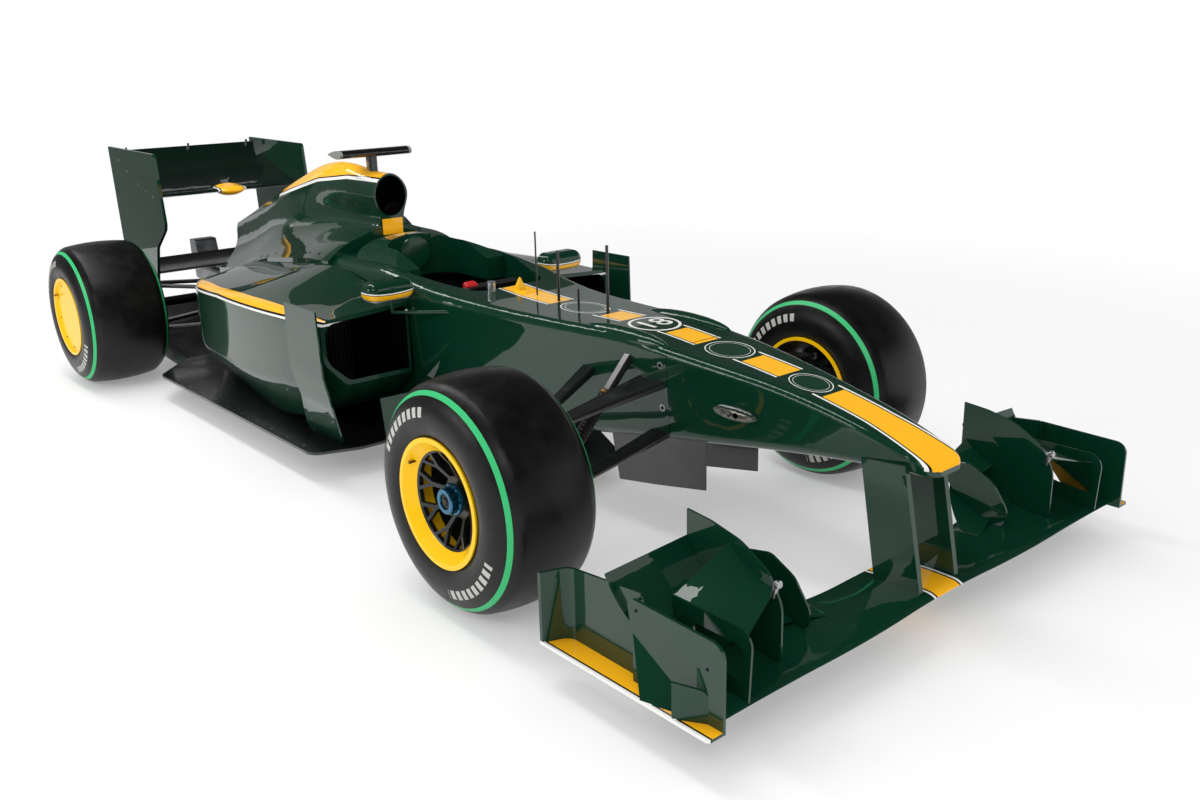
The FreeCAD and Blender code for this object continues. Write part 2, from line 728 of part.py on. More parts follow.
def make_diffuser():
    front = floor_rear_station + fit_gap
    rear = diffuser_rear_station
    roof = [(front, roof_z(front)), (rear, roof_z(rear)),
            (rear, roof_z(rear) - diffuser_thickness), (front, roof_z(front) - diffuser_thickness)]
    shape = side_plate(-diffuser_half_width, 2 * diffuser_half_width, roof, [0, 0, 0, 0])
    half = diffuser_half_width
    for x in (-half, -0.54 * half, -0.22 * half, 0.22 * half - 6, 0.54 * half - 6, half - 6):
        fence = side_plate(x, 6, [(front, roof_z(front) - 4), (rear, roof_z(rear) - 4),
                                  (rear, reference_z + 40), (front + 80, reference_z + 2),
                                  (front, reference_z + 2)], [0] * 5)
        shape = shape.fuse(fence)
    keel = box(-plank_half_width, plank_half_width, front, rear_axle_station - 60, reference_z, floor_top_z)
    return shape.fuse(keel)


# Power train
def make_engine():
    s0 = engine_front_station
    return box(-engine_half_width, engine_half_width, s0, s0 + engine_length,
               floor_top_z + fit_gap, floor_top_z + engine_height)


def make_gearbox(beam):
    s0 = engine_front_station + engine_length + fit_gap
    s1 = s0 + gearbox_length
    end = rear_axle_station + 600
    wide = gearbox_half_width
    case = Part.makeLoft([body_section(s0, gearbox_top_z, 190, wide, wide, 20, 20),
                          body_section(s1, 400, 255, 80, 70, 20, 20)], True, True)
    tail = Part.makeLoft([body_section(s1, 400, 262, 80, 70, 20, 20),
                          body_section(end, 385, 305, 48, 46, 14, 14)], True, True)
    bore = tube_along(at(0, end + 1, 345), at(0, end + 1 - starter_bore_depth, 345), starter_bore_radius)
    post = box(-40, 40, rear_axle_station + 210, rear_axle_station + 330, 330, 425)
    light = side_plate(-58, 116, [(end - 114, 372), (end - 2, 372), (end - 2, 521), (end - 74, 521)],
                       [0, 0, 6, 12])
    return case.fuse([tail, post, light]).cut([bore, beam])


# Wings
def make_front_wing(nose):
    s = wing_leading_station
    z = wing_plane_z
    plane = wing([(-endplate_x + fit_gap, s, z, 230, 7, 20, 12), (-560, s, z, 240, 8, 22, 14),
                  (-wing_centre_half - 40, s, z - 2, 215, 2, 20, 2), (0, s + 8, z, 212, 0, 20, 0),
                  (wing_centre_half + 40, s, z - 2, 215, 2, 20, 2), (560, s, z, 240, 8, 22, 14),
                  (endplate_x - fit_gap, s, z, 230, 7, 20, 12)])
    return plane.fuse(make_pillars(nose))


def make_pillars(nose):
    pillars = []
    for side in (1, -1):
        x = side * pillar_x - pillar_thickness / 2.0
        outline = [(-927, wing_plane_z), (-790, wing_plane_z), (-732, 440), (-862, 450)]
        blade = side_plate(x, pillar_thickness, outline, [0, 0, 0, 0])
        pillars.append(blade.cut(nose))
    return pillars


def make_front_flaps(neighbours):
    """Stacked flaps between the endplate and two fences, under a small cascade wing."""
    end = endplate_x - fit_gap
    lower = wing([(flap_tip_x, -842, 126, 66, 4, 5, 2), (flap_end_x, -812, 138, 150, 24, 9, 14),
                  (inner_fence_x, -792, 142, 190, 34, 10, 22), (end, -775, 138, 178, 34, 9, 18)])
    inner_upper = wing([(flap_end_x, -722, 214, 96, 22, 7, 8), (inner_fence_x, -716, 238, 110, 34, 8, 10)])
    upper = wing([(inner_fence_x, -725, 236, 158, 42, 9, 18), (end, -735, 228, 158, 42, 9, 18)])
    cascade = wing([(inner_fence_x, -882, 300, 152, 27, 8, 14), (fence_x, -944, 262, 216, 7, 8, 10)])
    tall = side_plate(inner_fence_x - sheet / 2, sheet,
                      [(-612, 411), (-612, 250), (-740, 140), (-905, 122), (-905, 268), (-862, 338),
                       (-780, 384), (-690, 404)], [0, 10, 30, 20, 90, 60, 120, 160])
    low = side_plate(flap_end_x - sheet / 2, sheet,
                     [(-628, 268), (-735, 142), (-850, 126), (-862, 178), (-810, 252), (-735, 290)],
                     [0, 60, 20, 40, 60, 40])
    outer = side_plate(fence_x - sheet / 2, sheet,
                       [(fence_rear_station, fence_top_z), (-760, 138), (-958, 116),
                        (fence_front_station, fence_top_z)], [0, 20, 0, 40])
    slot = side_plate(fence_x - sheet, 2 * sheet,
                      [(-792, 250), (-812, 176), (-945, 168), (-945, 250)], [12, 20, 20, 30])
    stack = lower.fuse([inner_upper, upper, cascade, tall, low, outer.cut(slot)]).cut(neighbours)
    return max(stack.Solids, key=lambda piece: piece.Volume)


def make_front_endplate():
    """Flat front panel folded out to the footplate, curved rear panel behind it and a slanted vane."""
    x = endplate_x
    edge = overall_width / 2.0
    front = -front_overhang
    panel = side_plate(x, endplate_thickness,
                       [(-700, 296), (-713, 228), (-934, 110), (front, 110), (front, 305), (-716, 312)],
                       [0, 0, 0, 0, 34, 0])
    fold = Part.Face(Part.makePolygon([at(x + 1, -713, 230), at(edge - 4, -783, 108), at(x + 1, -934, 108),
                                       at(x + 1, -713, 230)])).extrude(vec(6, -2, 4))
    foot = plan_plate(104, 8, [(x, front), (edge - 6, front), (edge, front + 8), (edge, endplate_rear),
                               (x - 24, endplate_rear), (x - 24, -730), (x, -730)],
                      [0, 6, 0, 0, 40, 10, 0])
    curl = endplate_rear - 36
    tail = plan_plate(108, 230, [(x - 19, -722), (x - 12, -722), (x - 15, curl), (edge, curl + 26),
                                 (edge, endplate_rear), (x - 22, curl + 10)],
                      [0, 0, 34, 0, 0, 40])
    above = side_plate(x - 60, 120, [(-400, 286), (-740, 322), (-740, 420), (-400, 420)], [0, 0, 0, 0])
    link = box(x - 16, x + endplate_thickness, -728, -716, 112, 308)
    vane = plan_plate(108, 93, [(edge - 5, -874), (edge - 1, -878), (x + 6, -947), (x + 2, -943)],
                      [0, 0, 0, 0])
    vane_side = side_plate(x - 10, 80, [(-860, 201), (-860, 100), (-945, 100), (-945, 186)], [0, 0, 0, 22])
    return panel.fuse([foot, tail.cut(above), link, fold, vane.common(vane_side)])


def make_rear_wing():
    """Main plane with a thicker middle, and its flap with three small tabs."""
    half = rear_endplate_x - fit_gap
    s = rear_wing_station
    z = rear_wing_z
    chord = rear_wing_chord
    angle = rear_wing_angle
    main = wing([(-half, s, z, chord, angle, 26, 26), (half, s, z, chord, angle, 26, 26)])
    short = chord * 0.8
    swell = wing([(-66, s, z, short, angle, 26, 20), (-44, s - 14, z - 4, short, angle, 44, 20),
                  (44, s - 14, z - 4, short, angle, 44, 20), (66, s, z, short, angle, 26, 20)])
    rear = s + chord * math.cos(math.radians(angle)) + 6
    trailing = z + chord * math.sin(math.radians(angle))
    flap = wing([(-half, rear, trailing - 8, rear_flap_chord, rear_flap_angle, 12, 16),
                 (half, rear, trailing - 8, rear_flap_chord, rear_flap_angle, 12, 16)])
    tilt = math.radians(rear_flap_angle)
    edge_s = rear + rear_flap_chord * math.cos(tilt)
    edge_z = trailing - 8 + rear_flap_chord * math.sin(tilt)
    tabs = [box(x - 2, x + 2, edge_s - 22, edge_s - 2, edge_z - 14, edge_z + 14) for x in (-322, 0, 322)]
    return main.fuse(swell), flap.fuse(tabs)


def make_beam_wing():
    half = rear_endplate_x - fit_gap
    s = beam_wing_station
    return wing([(-half, s, beam_wing_z, 210, 12, 18, 16), (half, s, beam_wing_z, 210, 12, 18, 16)])


def make_rear_endplate(diffuser):
    rear = rear_axle_station + rear_overhang
    foot = [(diffuser_rear_station - gap, roof_z(diffuser_rear_station - gap) - 5) for gap in (15, 100)]
    outline = [(rear - 627, 1018), (rear, 1027), (rear - 35, 533), (rear - 345, 330), foot[0],
               foot[1], (foot[1][0], 330), (rear - 515, 561), (rear - 667, 671)]
    plate = side_plate(rear_endplate_x, rear_endplate_thickness, outline, [20, 0, 60, 20, 0, 0, 20, 60, 60])
    return plate.cut(diffuser)


# Vanes, mirrors, camera and probes
def bent_sheet(levels, thickness):
    """Upright sheet through plan lines, each given as (height, list of (x, station))."""
    wires = []
    for z, line in levels:
        inner = [at(x, s, z) for x, s in line]
        outer = [at(x + thickness, s, z) for x, s in reversed(line)]
        wires.append(Part.makePolygon(inner + outer + inner[:1]))
    return Part.makeLoft(wires, True, True)


def make_side_vanes():
    foot = floor_top_z + fit_gap
    pod_vane = bent_sheet([(foot, [(548, 1150), (566, 1360)]), (200, [(616, 1040), (628, 1262)]),
                           (320, [(672, 968), (672, 1188)]), (420, [(686, 985), (686, 1222)]),
                           (645, [(688, 992), (688, 1215)])], sheet)
    tray_top = reference_z + step_height + tray_lap + fit_gap
    barge = bent_sheet([(tray_top, [(238, 740), (246, 850), (330, 1000), (416, 1074)]),
                        (400, [(262, 740), (290, 850), (372, 1000), (440, 1074)])], sheet)
    slope = side_plate(150, 400, [(700, 392), (1120, 262), (1120, 450), (700, 450)], [0] * 4)
    return pod_vane, barge.cut(slope)


def make_nose_vanes(carriers):
    vanes = []
    for side in (1, -1):
        outline = [(-216, 380), (-216, 208), (-13, 169), (160, 140), (200, 330)]
        vanes.append(side_plate(side * 112 - 2, 4, outline, [0] * 5).cut(carriers))
    return vanes


def make_mirror(carrier, side):
    """Pill shaped mirror case, flat and dished at the back, on a bent stay."""
    x = side * mirror_x
    w = mirror_half_width
    h = mirror_half_height
    front = mirror_station - 46
    back = mirror_station + 16
    face = [at(x - w, front, mirror_z - h), at(x + w, front, mirror_z - h),
            at(x + w, front, mirror_z + h), at(x - w, front, mirror_z + h)]
    case = prism(face, [h - 2] * 4, vec(0, back - front, 0))
    rim = [edge for edge in case.Edges if edge.BoundBox.YMax < front_axle_y + along(front) + 0.1]
    case = case.makeFillet(h - 6, rim)
    dish = prism([at(x - w + 6, back - 4, mirror_z - h + 6), at(x + w - 6, back - 4, mirror_z - h + 6),
                  at(x + w - 6, back - 4, mirror_z + h - 6), at(x - w + 6, back - 4, mirror_z + h - 6)],
                 [h - 8] * 4, vec(0, 10, 0))
    foot = at(x - side * 9, mirror_station - 10, 582)
    stay = tube_along(at(x - side * 9, mirror_station - 10, mirror_z - 20), foot, 6)
    bar = tube_along(foot, at(side * 150, 700, 604), 6)
    corner = Part.makeSphere(6, foot)
    return case.cut(dish).fuse([stay, bar, corner]).cut(carrier)


def make_cameras(carrier, nose):
    """Camera wing over the air intake, and two small cameras on the nose."""
    s = camera_station
    ends = camera_half_span
    bar = wing([(-ends, s, camera_z, 104, 0, 32, 0), (ends, s, camera_z, 104, 0, 32, 0)])
    post = wing([(0, s + 12, 0, 78, 0, 26, 0), (84, s + 12, 0, 78, 0, 26, 0)])
    post.rotate(at(0, s, 0), vec(0, 1, 0), -90)
    post.translate(vec(0, 0, camera_z - 80))
    pods = [egg(at(side * 118, -328, 474), 84, 23, True).cut(nose) for side in (1, -1)]
    return [bar.fuse(post).cut(carrier)] + pods


def make_probes(carrier):
    stands = [(702, 856, 3), (583, 805, 5), (331, 850, 5), (478, 690, 4)]
    return [tube_along(at(0, s, 600), at(0, s, top), radius).cut(carrier) for s, top, radius in stands]


os.makedirs("parts", exist_ok=True)
make_wheels()
save_pair("front_upright", make_knuckle())
nose = make_nose()
cell = make_cell()
save("nose_cone", nose)
save("survival_cell", cell)
save_pair("front_arms", make_front_arms(cell))
save("headrest", make_headrest())
save("seat", make_seat())
save("handwheel", make_handwheel())
beam = make_beam_wing()
gearbox = make_gearbox(beam)
save("beam_wing", beam)
save("gearbox", gearbox)
save("engine_block", make_engine())
upper_arm, lower_arm = make_rear_arms(gearbox)
save("rear_arms_left", upper_arm, lower_arm)
save("rear_arms_right", mirrored(upper_arm), mirrored(lower_arm))
save_pair("rear_upright", make_rear_upright(gearbox))
cover = make_cover()
save("engine_cover", cover)
save_pair("side_pod", make_pod())
save("floor", make_floor())
save("plank", make_plank())
diffuser = make_diffuser()
save("diffuser", diffuser)
front_wing = make_front_wing(nose)
save("front_wing", front_wing)
endplate = make_front_endplate()
save_pair("front_flaps", make_front_flaps([front_wing, endplate]))
save_pair("front_endplate", endplate)
save("rear_wing", *make_rear_wing())
save_pair("rear_endplate", make_rear_endplate(diffuser))
pod_vane, barge = make_side_vanes()
save("side_vanes_left", pod_vane, barge)
save("side_vanes_right", mirrored(pod_vane), mirrored(barge))
save("nose_vanes", *make_nose_vanes([nose, cell]))
save("mirror_left", make_mirror(cell, 1))
save("mirror_right", make_mirror(cell, -1))
save("camera_pod", *make_cameras(cover, nose))
save("probes", *make_probes(cell))
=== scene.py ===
import json
import math
from functools import reduce
import bmesh
import bpy
from mathutils import Matrix, Vector
from mathutils.bvhtree import BVHTree


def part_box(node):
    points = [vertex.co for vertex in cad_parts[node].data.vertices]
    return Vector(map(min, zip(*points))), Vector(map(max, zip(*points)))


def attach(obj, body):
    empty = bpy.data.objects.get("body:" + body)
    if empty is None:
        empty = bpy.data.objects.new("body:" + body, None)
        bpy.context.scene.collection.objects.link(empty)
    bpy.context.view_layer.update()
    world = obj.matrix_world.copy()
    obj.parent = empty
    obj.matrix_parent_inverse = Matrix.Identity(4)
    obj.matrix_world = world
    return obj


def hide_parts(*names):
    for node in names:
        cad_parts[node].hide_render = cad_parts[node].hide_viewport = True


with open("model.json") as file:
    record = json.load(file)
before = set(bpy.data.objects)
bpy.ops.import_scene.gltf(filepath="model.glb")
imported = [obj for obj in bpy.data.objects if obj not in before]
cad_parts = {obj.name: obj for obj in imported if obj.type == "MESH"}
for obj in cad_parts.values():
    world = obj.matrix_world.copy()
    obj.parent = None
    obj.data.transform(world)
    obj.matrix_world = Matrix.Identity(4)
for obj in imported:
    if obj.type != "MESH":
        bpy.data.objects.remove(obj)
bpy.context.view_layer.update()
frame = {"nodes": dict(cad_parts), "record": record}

print("frame loaded,", len(frame["nodes"]), "nodes")

# Places on the car in metres. The car faces -Y and its left side is +X.
place = {"frontAxle": -1.395, "rearAxle": 1.705, "axleHeight": 0.325}
leftRight = ((1, "left"), (-1, "right"))
bodyOf = {nodeName: bodyName
          for bodyName, nodeNames in frame["record"]["behaviour"]["bodies"].items()
          for nodeName in nodeNames}


def behind(station):
    # a station is in millimetres behind the front axle
    return place["frontAxle"] + station / 1000.0


def spot(x, station, z):
    # millimetres across, behind the front axle and up, as metres
    return Vector((x / 1000.0, behind(station), z / 1000.0))


def linked(name, data):
    made = bpy.data.objects.new(name, data)
    bpy.context.scene.collection.objects.link(made)
    return made


# Shader maths: a wire is one node socket that can be used in sums.
class Wire:
    def __init__(self, look, socket):
        self.look = look
        self.socket = socket

    def sum(self, operation, other=0.0):
        return self.look.node("ShaderNodeMath", {"operation": operation}, {0: self, 1: other})

    def __add__(self, other):
        return self.sum("ADD", other)

    def __sub__(self, other):
        return self.sum("SUBTRACT", other)

    def __rsub__(self, other):
        return self.look.node("ShaderNodeMath", {"operation": "SUBTRACT"}, {0: other, 1: self})

    def __mul__(self, other):
        return self.sum("MULTIPLY", other)

    def __truediv__(self, other):
        return self.sum("DIVIDE", other)

    def __pow__(self, other):
        return self.sum("POWER", other)

    def __gt__(self, other):
        return self.sum("GREATER_THAN", other)

    def __lt__(self, other):
        return self.sum("LESS_THAN", other)

    def __abs__(self):
        return self.sum("ABSOLUTE")

    __radd__ = __add__
    __rmul__ = __mul__


def larger(first, second):
    return first.sum("MAXIMUM", second)


def smaller(first, second):
    return first.sum("MINIMUM", second)


def between(value, low, high):
    return (value > low) * (value < high)


def distance(first, second):
    return (first * first + second * second) ** 0.5


class Look:
    # one material and its node tree
    def __init__(self, name, **fixed):
        self.material = bpy.data.materials.new(name)
        self.material.use_nodes = True
        self.tree = self.material.node_tree
        self.tree.nodes.clear()
        self.output = self.tree.nodes.new("ShaderNodeOutputMaterial")
        self.shader = self.tree.nodes.new("ShaderNodeBsdfPrincipled")
        self.tree.links.new(self.shader.outputs[0], self.output.inputs[0])
        for socket, value in fixed.items():
            self.set(socket.replace("_", " "), value)

    def set(self, socket, value):
        target = self.shader.inputs[socket]
        if isinstance(value, Wire):
            self.tree.links.new(value.socket, target)
        else:
            target.default_value = value

    def node(self, kind, settings=None, values=None, output=0):
        made = self.tree.nodes.new(kind)
        for key, value in (settings or {}).items():
            setattr(made, key, value)
        for key, value in (values or {}).items():
            if isinstance(value, Wire):
                self.tree.links.new(value.socket, made.inputs[key])
            else:
                made.inputs[key].default_value = value
        return Wire(self, made.outputs[output])

    def point(self):
        return self.node("ShaderNodeTexCoord", output="Object")

    def normal(self):
        return self.parts(self.node("ShaderNodeNewGeometry", output="Normal"))

    def parts(self, vector):
        split = self.tree.nodes.new("ShaderNodeSeparateXYZ")
        self.tree.links.new(vector.socket, split.inputs[0])
        return [Wire(self, socket) for socket in split.outputs]

    def noise(self, vector, scale, detail=2.0, breakup=0.5):
        return self.node("ShaderNodeTexNoise", {"noise_dimensions": "3D"},
                         {"Vector": vector, "Scale": scale, "Detail": detail, "Roughness": breakup})

    def mix(self, mask, under, over):
        return self.node("ShaderNodeMix", {"data_type": "RGBA"}, {0: mask, 6: under, 7: over}, 2)

    def ranged(self, value, low, high, newLow, newHigh):
        return self.node("ShaderNodeMapRange", {"clamp": True},
                         {"Value": value, "From Min": low, "From Max": high,
                          "To Min": newLow, "To Max": newHigh})

    def bump(self, height, strength, depth):
        self.set("Normal", self.node("ShaderNodeBump", None, {
            "Strength": strength, "Distance": depth, "Height": height}))

    def rough(self, wear, low, high):
        # roughness that follows a noise
        self.set("Roughness", self.ranged(wear, 0.3, 0.7, low, high))


def shade(hexCode):
    # a written colour such as "FFCC00" as linear light
    parts = [int(hexCode[i:i + 2], 16) / 255.0 for i in (0, 2, 4)]
    linear = [c / 12.92 if c <= 0.04045 else ((c + 0.055) / 1.055) ** 2.4 for c in parts]
    return (linear[0], linear[1], linear[2], 1.0)


tint = {
    "green": shade("063726"),
    "greenDeep": shade("042619"),
    # darker green for the rear wing: painted shade standing in for the dark reflections on its
    # faces
    "greenPaintedShade": shade("02180F"),
    "yellow": shade("FFB91A"),
    "wheelYellow": shade("FFC800"),
    "white": shade("EDEDEA"),
    "black": shade("08080A"),
    "tyreGreen": shade("34B871"),
}

# Bodywork paint: deep green under lacquer, with bands and pinstripes by place
paintLook = {
    "flakeScale": 900.0, "flakeShare": 0.5, "metallic": 0.12, "roughness": 0.42, "spread": 0.04,
    "hazeScale": 5.0, "specular": 0.05, "coatRoughness": 0.015, "seamWidth": 0.0016,
}


def paint(name, bands, main="green", flakes="greenDeep"):
    p = paintLook
    look = Look(name, Coat_Weight=1.0, Coat_Roughness=p["coatRoughness"], Coat_IOR=1.5,
                Specular_IOR_Level=p["specular"])
    point = look.point()
    flake = look.noise(point, p["flakeScale"], 1.0)
    color = look.mix(flake * p["flakeShare"], tint[main], tint[flakes])
    shapes = bands(look, *look.parts(point))
    for shape, key in shapes:
        color = look.mix(shape, color, tint[key])
    look.set("Base Color", color)
    haze = look.noise(point, p["hazeScale"], 4.0)
    look.rough(haze, p["roughness"] - p["spread"], p["roughness"] + p["spread"])
    look.set("Metallic", p["metallic"])
    if shapes:
        cover = reduce(larger, [shape for shape, key in shapes])
        look.set("Metallic", (1.0 - cover) * p["metallic"])
    return look.material


def noBands(look, x, y, z):
    return []


def stripe(x, halfWidths, areas):
    # white, black and yellow on top of each other, each inside its own area
    return [((abs(x) < half) * area, key)
            for half, area, key in zip(halfWidths, areas, ("white", "black", "yellow"))]


def lowest(y, lines):
    # the lowest of some lines, each through a height at a station and falling behind it
    return reduce(smaller, [(y - behind(station)) * -fall + height
                            for station, height, fall in lines])


# Stripe along the nose and tub, with a roundel, three plain ovals and the nose joint
noseStripe = {
    "halfWidth": 0.046, "tipHalfWidth": 0.060, "tipStart": -720, "tip": -900,
    "blackWidth": 0.005, "whiteWidth": 0.007, "whiteLonger": 26,
    "pieces": ((-1000, -572), (-422, -288), (-112, 18), (210, 318), (573, 846)),
    "facing": 0.25, "tipEdge": -905, "tipHeight": 0.445,
    "roundelStation": 114, "ring": (0.0735, 0.083),
    "ovals": ((446, 0.070, 0.098), (-200, 0.074, 0.072), (-497, 0.058, 0.062)),
    "ovalEdge": 0.955, "ovalLine": (0.80, 0.82), "joint": -95,
}


def noseBands(look, x, y, z):
    n = noseStripe
    up = larger(look.normal()[2] > n["facing"], (y < behind(n["tipEdge"])) * (z > n["tipHeight"]))
    side = abs(x)
    half = look.ranged(y, behind(n["tip"]), behind(n["tipStart"]), n["tipHalfWidth"],
                       n["halfWidth"])
    dark = half + n["blackWidth"]
    pieces, longer = [reduce(larger, [between(y, behind(start), behind(end + extra))
                                      for start, end in n["pieces"]])
                      for extra in (0, n["whiteLonger"])]
    bands = [(between(side, dark, dark + n["whiteWidth"]) * up * longer, "white"),
             ((side < dark) * up * pieces, "black"), ((side < half) * up * pieces, "yellow")]
    roundel = distance(x, y - behind(n["roundelStation"]))
    bands.append((between(roundel, *n["ring"]) * up, "white"))
    for station, halfAcross, halfAlong in n["ovals"]:
        reach = distance(x / halfAcross, (y - behind(station)) / halfAlong)
        bands += [((reach < 1.0) * up, "white"), ((reach < n["ovalEdge"]) * up, "green"),
                  (between(reach, *n["ovalLine"]) * up, "white")]
    bands.append((abs(y - behind(n["joint"])) < paintLook["seamWidth"], "black"))
    return bands


# Band round the top of the air intake, running back to a point on the ridge, a yellow panel
# under the intake, and painted shade: the inside of its mouth painted black
coverBand = {
    "front": 0.978, "lines": ((1992, 0.965, 0.11), (2130, 0.950, 0.222)),
    "blackWidth": 0.005, "whiteWidth": 0.012, "start": 1640.6, "end": 2590, "yellowEnd": 2570,
    "panelHalfWidth": 0.046, "panelHeights": (0.752, 0.815), "panelBack": 1665, "panelFacing": -0.6,
    "mouthHeight": 0.905, "mouthLow": 0.82, "mouthBack": 1830, "inward": -0.02,
}


def coverBands(look, x, y, z):
    c = coverBand
    line = smaller(lowest(y, c["lines"]), c["front"])
    dark = line - c["blackWidth"]
    start = behind(c["start"])
    span = between(y, start, behind(c["end"]))
    normalX, normalY, normalZ = look.normal()
    inward = x * normalX + (z - c["mouthHeight"]) * normalZ
    # painted shade: surfaces facing into the intake's mouth are painted black
    mouth = (inward < c["inward"]) * (z > c["mouthLow"]) * (y < behind(c["mouthBack"]))
    panel = (abs(x) < c["panelHalfWidth"]) * between(z, *c["panelHeights"])
    return [((z > dark - c["whiteWidth"]) * span, "white"), ((z > dark) * span, "black"),
            ((z > line) * between(y, start, behind(c["yellowEnd"])), "yellow"), (mouth, "black"),
            (panel * (normalY < c["panelFacing"]) * (y < behind(c["panelBack"])), "yellow")]


# Band along the shoulder of the pod, the curved joint between its two panels, and painted shade:
# its inside painted black. Lines give the band's upper edge, edges the pod's outer edge seen from
# above.
podBand = {
    "lines": ((1335, 0.604, 0.030), (2000, 0.582, 0.078), (2349, 0.5535, 0.155)),
    "edges": ((1300, 0.655, 0.0), (1640, 0.655, 0.0694), (2000, 0.630, 0.186), (2349, 0.565, 0.5)),
    "yellow": 0.026, "black": 0.007, "white": 0.008, "reach": 0.038, "blackReach": 0.042,
    "end": 2640, "facing": 0.02, "seamStation": 1402, "seamTop": 0.555, "seamBend": 1.45,
    "seamWidth": 0.0026, "seamFrom": 0.5, "seamFacing": 0.9, "axis": (0.47, 0.38), "inward": -0.03,
}


def podBands(look, x, y, z):
    p = podBand
    normalX, normalY, normalZ = look.normal()
    side = abs(x)
    depth = lowest(y, p["lines"]) - z
    reach = lowest(y, p["edges"]) - side
    ahead = (y < behind(p["end"]))
    shown = ahead * (normalZ > p["facing"])
    low = p["yellow"] + p["black"]
    drop = p["seamTop"] - z
    seam = abs(y - behind(p["seamStation"]) + drop * drop * p["seamBend"]) < p["seamWidth"]
    outside = (side > p["seamFrom"]) * (normalZ < p["seamFacing"]) * (z < p["seamTop"])
    across, height = p["axis"]
    # painted shade: surfaces facing into the pod's intake are painted black
    inward = (side - across) * normalX * (x / side) + (z - height) * normalZ
    return [(between(depth, low, low + p["white"]) * ahead, "white"),
            ((depth < low) * (reach < p["blackReach"]) * shown, "black"),
            ((depth < p["yellow"]) * (reach < p["reach"]) * shown, "yellow"),
            (seam * outside, "black"), ((inward < p["inward"]) * ahead, "black")]


mirrorBand = {
    "low": 0.627, "yellow": (0.633, 0.651), "line": 0.0026, "white": 0.004, "whiteBelow": 0.02,
    "middle": 0.381, "bow": 0.9, "back": 1075,
}


def mirrorBands(look, x, y, z):
    m = mirrorBand
    low, high = m["yellow"]
    across = abs(x) - m["middle"]
    height = z - across * across * m["bow"]
    shown = (z > m["low"]) * (y < behind(m["back"]))
    top = high + m["line"]
    return [(between(height, low - m["whiteBelow"], top + m["white"]) * shown, "white"),
            (between(height, low - m["line"], top) * shown, "black"),
            (between(height, low, high) * shown, "yellow")]


# Yellow foot of the front endplate with a dark pinstripe and a white outer edge
footBand = {"facing": 0.6, "top": 0.116, "line": 0.8885, "edge": 0.8935, "edgeTop": 0.1135}


def footBands(look, x, y, z):
    f = footBand
    side = abs(x)
    foot = (look.normal()[2] > f["facing"]) * (z < f["top"])
    return [(foot, "yellow"), (foot * (side > f["line"]), "black"),
            ((side > f["edge"]) * (z < f["edgeTop"]), "white")]


# Short stripes: between the front wing's pillars, on the rear wing and on the headrest's crown
frontStripe = {"halfWidths": (0.062, 0.054, 0.048), "top": 0.150}
rearStripe = {"halfWidths": (0.072, 0.064, 0.058), "back": 3260}
crownStripe = {"halfWidths": (0.052, 0.047, 0.042), "starts": (1512, 1517, 1522), "facing": 0.4}


def frontWingBands(look, x, y, z):
    return stripe(x, frontStripe["halfWidths"], [z < frontStripe["top"]] * 3)


def rearWingBands(look, x, y, z):
    return stripe(x, rearStripe["halfWidths"], [y < behind(rearStripe["back"])] * 3)


def headrestBands(look, x, y, z):
    top = look.normal()[2] > crownStripe["facing"]
    areas = [(y > behind(start)) * top for start in crownStripe["starts"]]
    return stripe(x, crownStripe["halfWidths"], areas)


# Woven carbon: diagonal rows of light and dark threads under a thin lacquer
carbonLook = {
    "threadWidth": 0.0022, "lean": 0.7, "dark": shade("0D0D0E"), "light": shade("1E1E20"),
    "coat": 0.6, "roughness": (0.26, 0.42),
}


def carbon(name):
    c = carbonLook
    look = Look(name, Metallic=0.0, Coat_Weight=c["coat"], Coat_Roughness=0.12, Coat_IOR=1.5)
    point = look.point()
    x, y, z = look.parts(point)
    lean = z * c["lean"]
    twill = ((x + lean) / c["threadWidth"] + (y + lean) / c["threadWidth"]) * 0.25
    thread = twill.sum("FRACT") > 0.5
    look.set("Base Color", look.mix(thread, c["dark"], c["light"]))
    look.rough(look.noise(point, 14.0, 4.0), *c["roughness"])
    look.bump(thread, 0.08, 0.0004)
    return look.material


# Camera housings: dark bar with pale ends over the intake, metal face plates beside the nose
cameraLook = {
    "bar": shade("0B0B0C"), "end": shade("8C8E88"), "plate": shade("77746A"), "endFrom": 0.150,
    "noseBelow": 0.6, "plateFacing": 0.86,
}


def cameraHousing(name):
    c = cameraLook
    look = Look(name, Coat_Weight=0.8, Coat_Roughness=0.05)
    point = look.point()
    x, y, z = look.parts(point)
    smudge = look.noise(point, 30.0, 4.0)
    onNose = (z < c["noseBelow"])
    plate = onNose * (abs(look.normal()[0]) > c["plateFacing"])
    color = look.mix(onNose, c["bar"], tint["greenDeep"])
    color = look.mix(plate, color, c["plate"])
    color = look.mix((1.0 - onNose) * (abs(x) > c["endFrom"]), color, c["end"])
    look.set("Base Color", color)
    look.set("Metallic", plate * 0.8)
    look.rough(smudge, 0.26, 0.38)
    look.bump(smudge, 0.04, 0.0005)
    return look.material


def fromAxle(look, point, axle):
    # across from the car's middle, then along and up from an axle
    x, y, z = look.parts(point)
    return x, y - place[axle], z - place["axleHeight"]


# Slick tyre: satin tread with a parting line, and on each wall a painted ring and two arcs of
# plain hatch marks
tyreLook = {
    "rubber": shade("080908"), "worn": shade("121311"), "ring": (0.2858, 0.2974),
    "mark": shade("B9B9B4"), "markRadii": (0.232, 0.258), "markTurns": (0.9, 4.05),
    "markSpan": 0.52, "markPitch": 8.5, "markGap": 0.38, "lineWidth": 0.0012, "treadFrom": 0.31,
    "mouldings": ((0.2800, 0.2812), (0.3052, 0.3062)), "frontMiddle": 0.728, "rearMiddle": 0.7075,
}


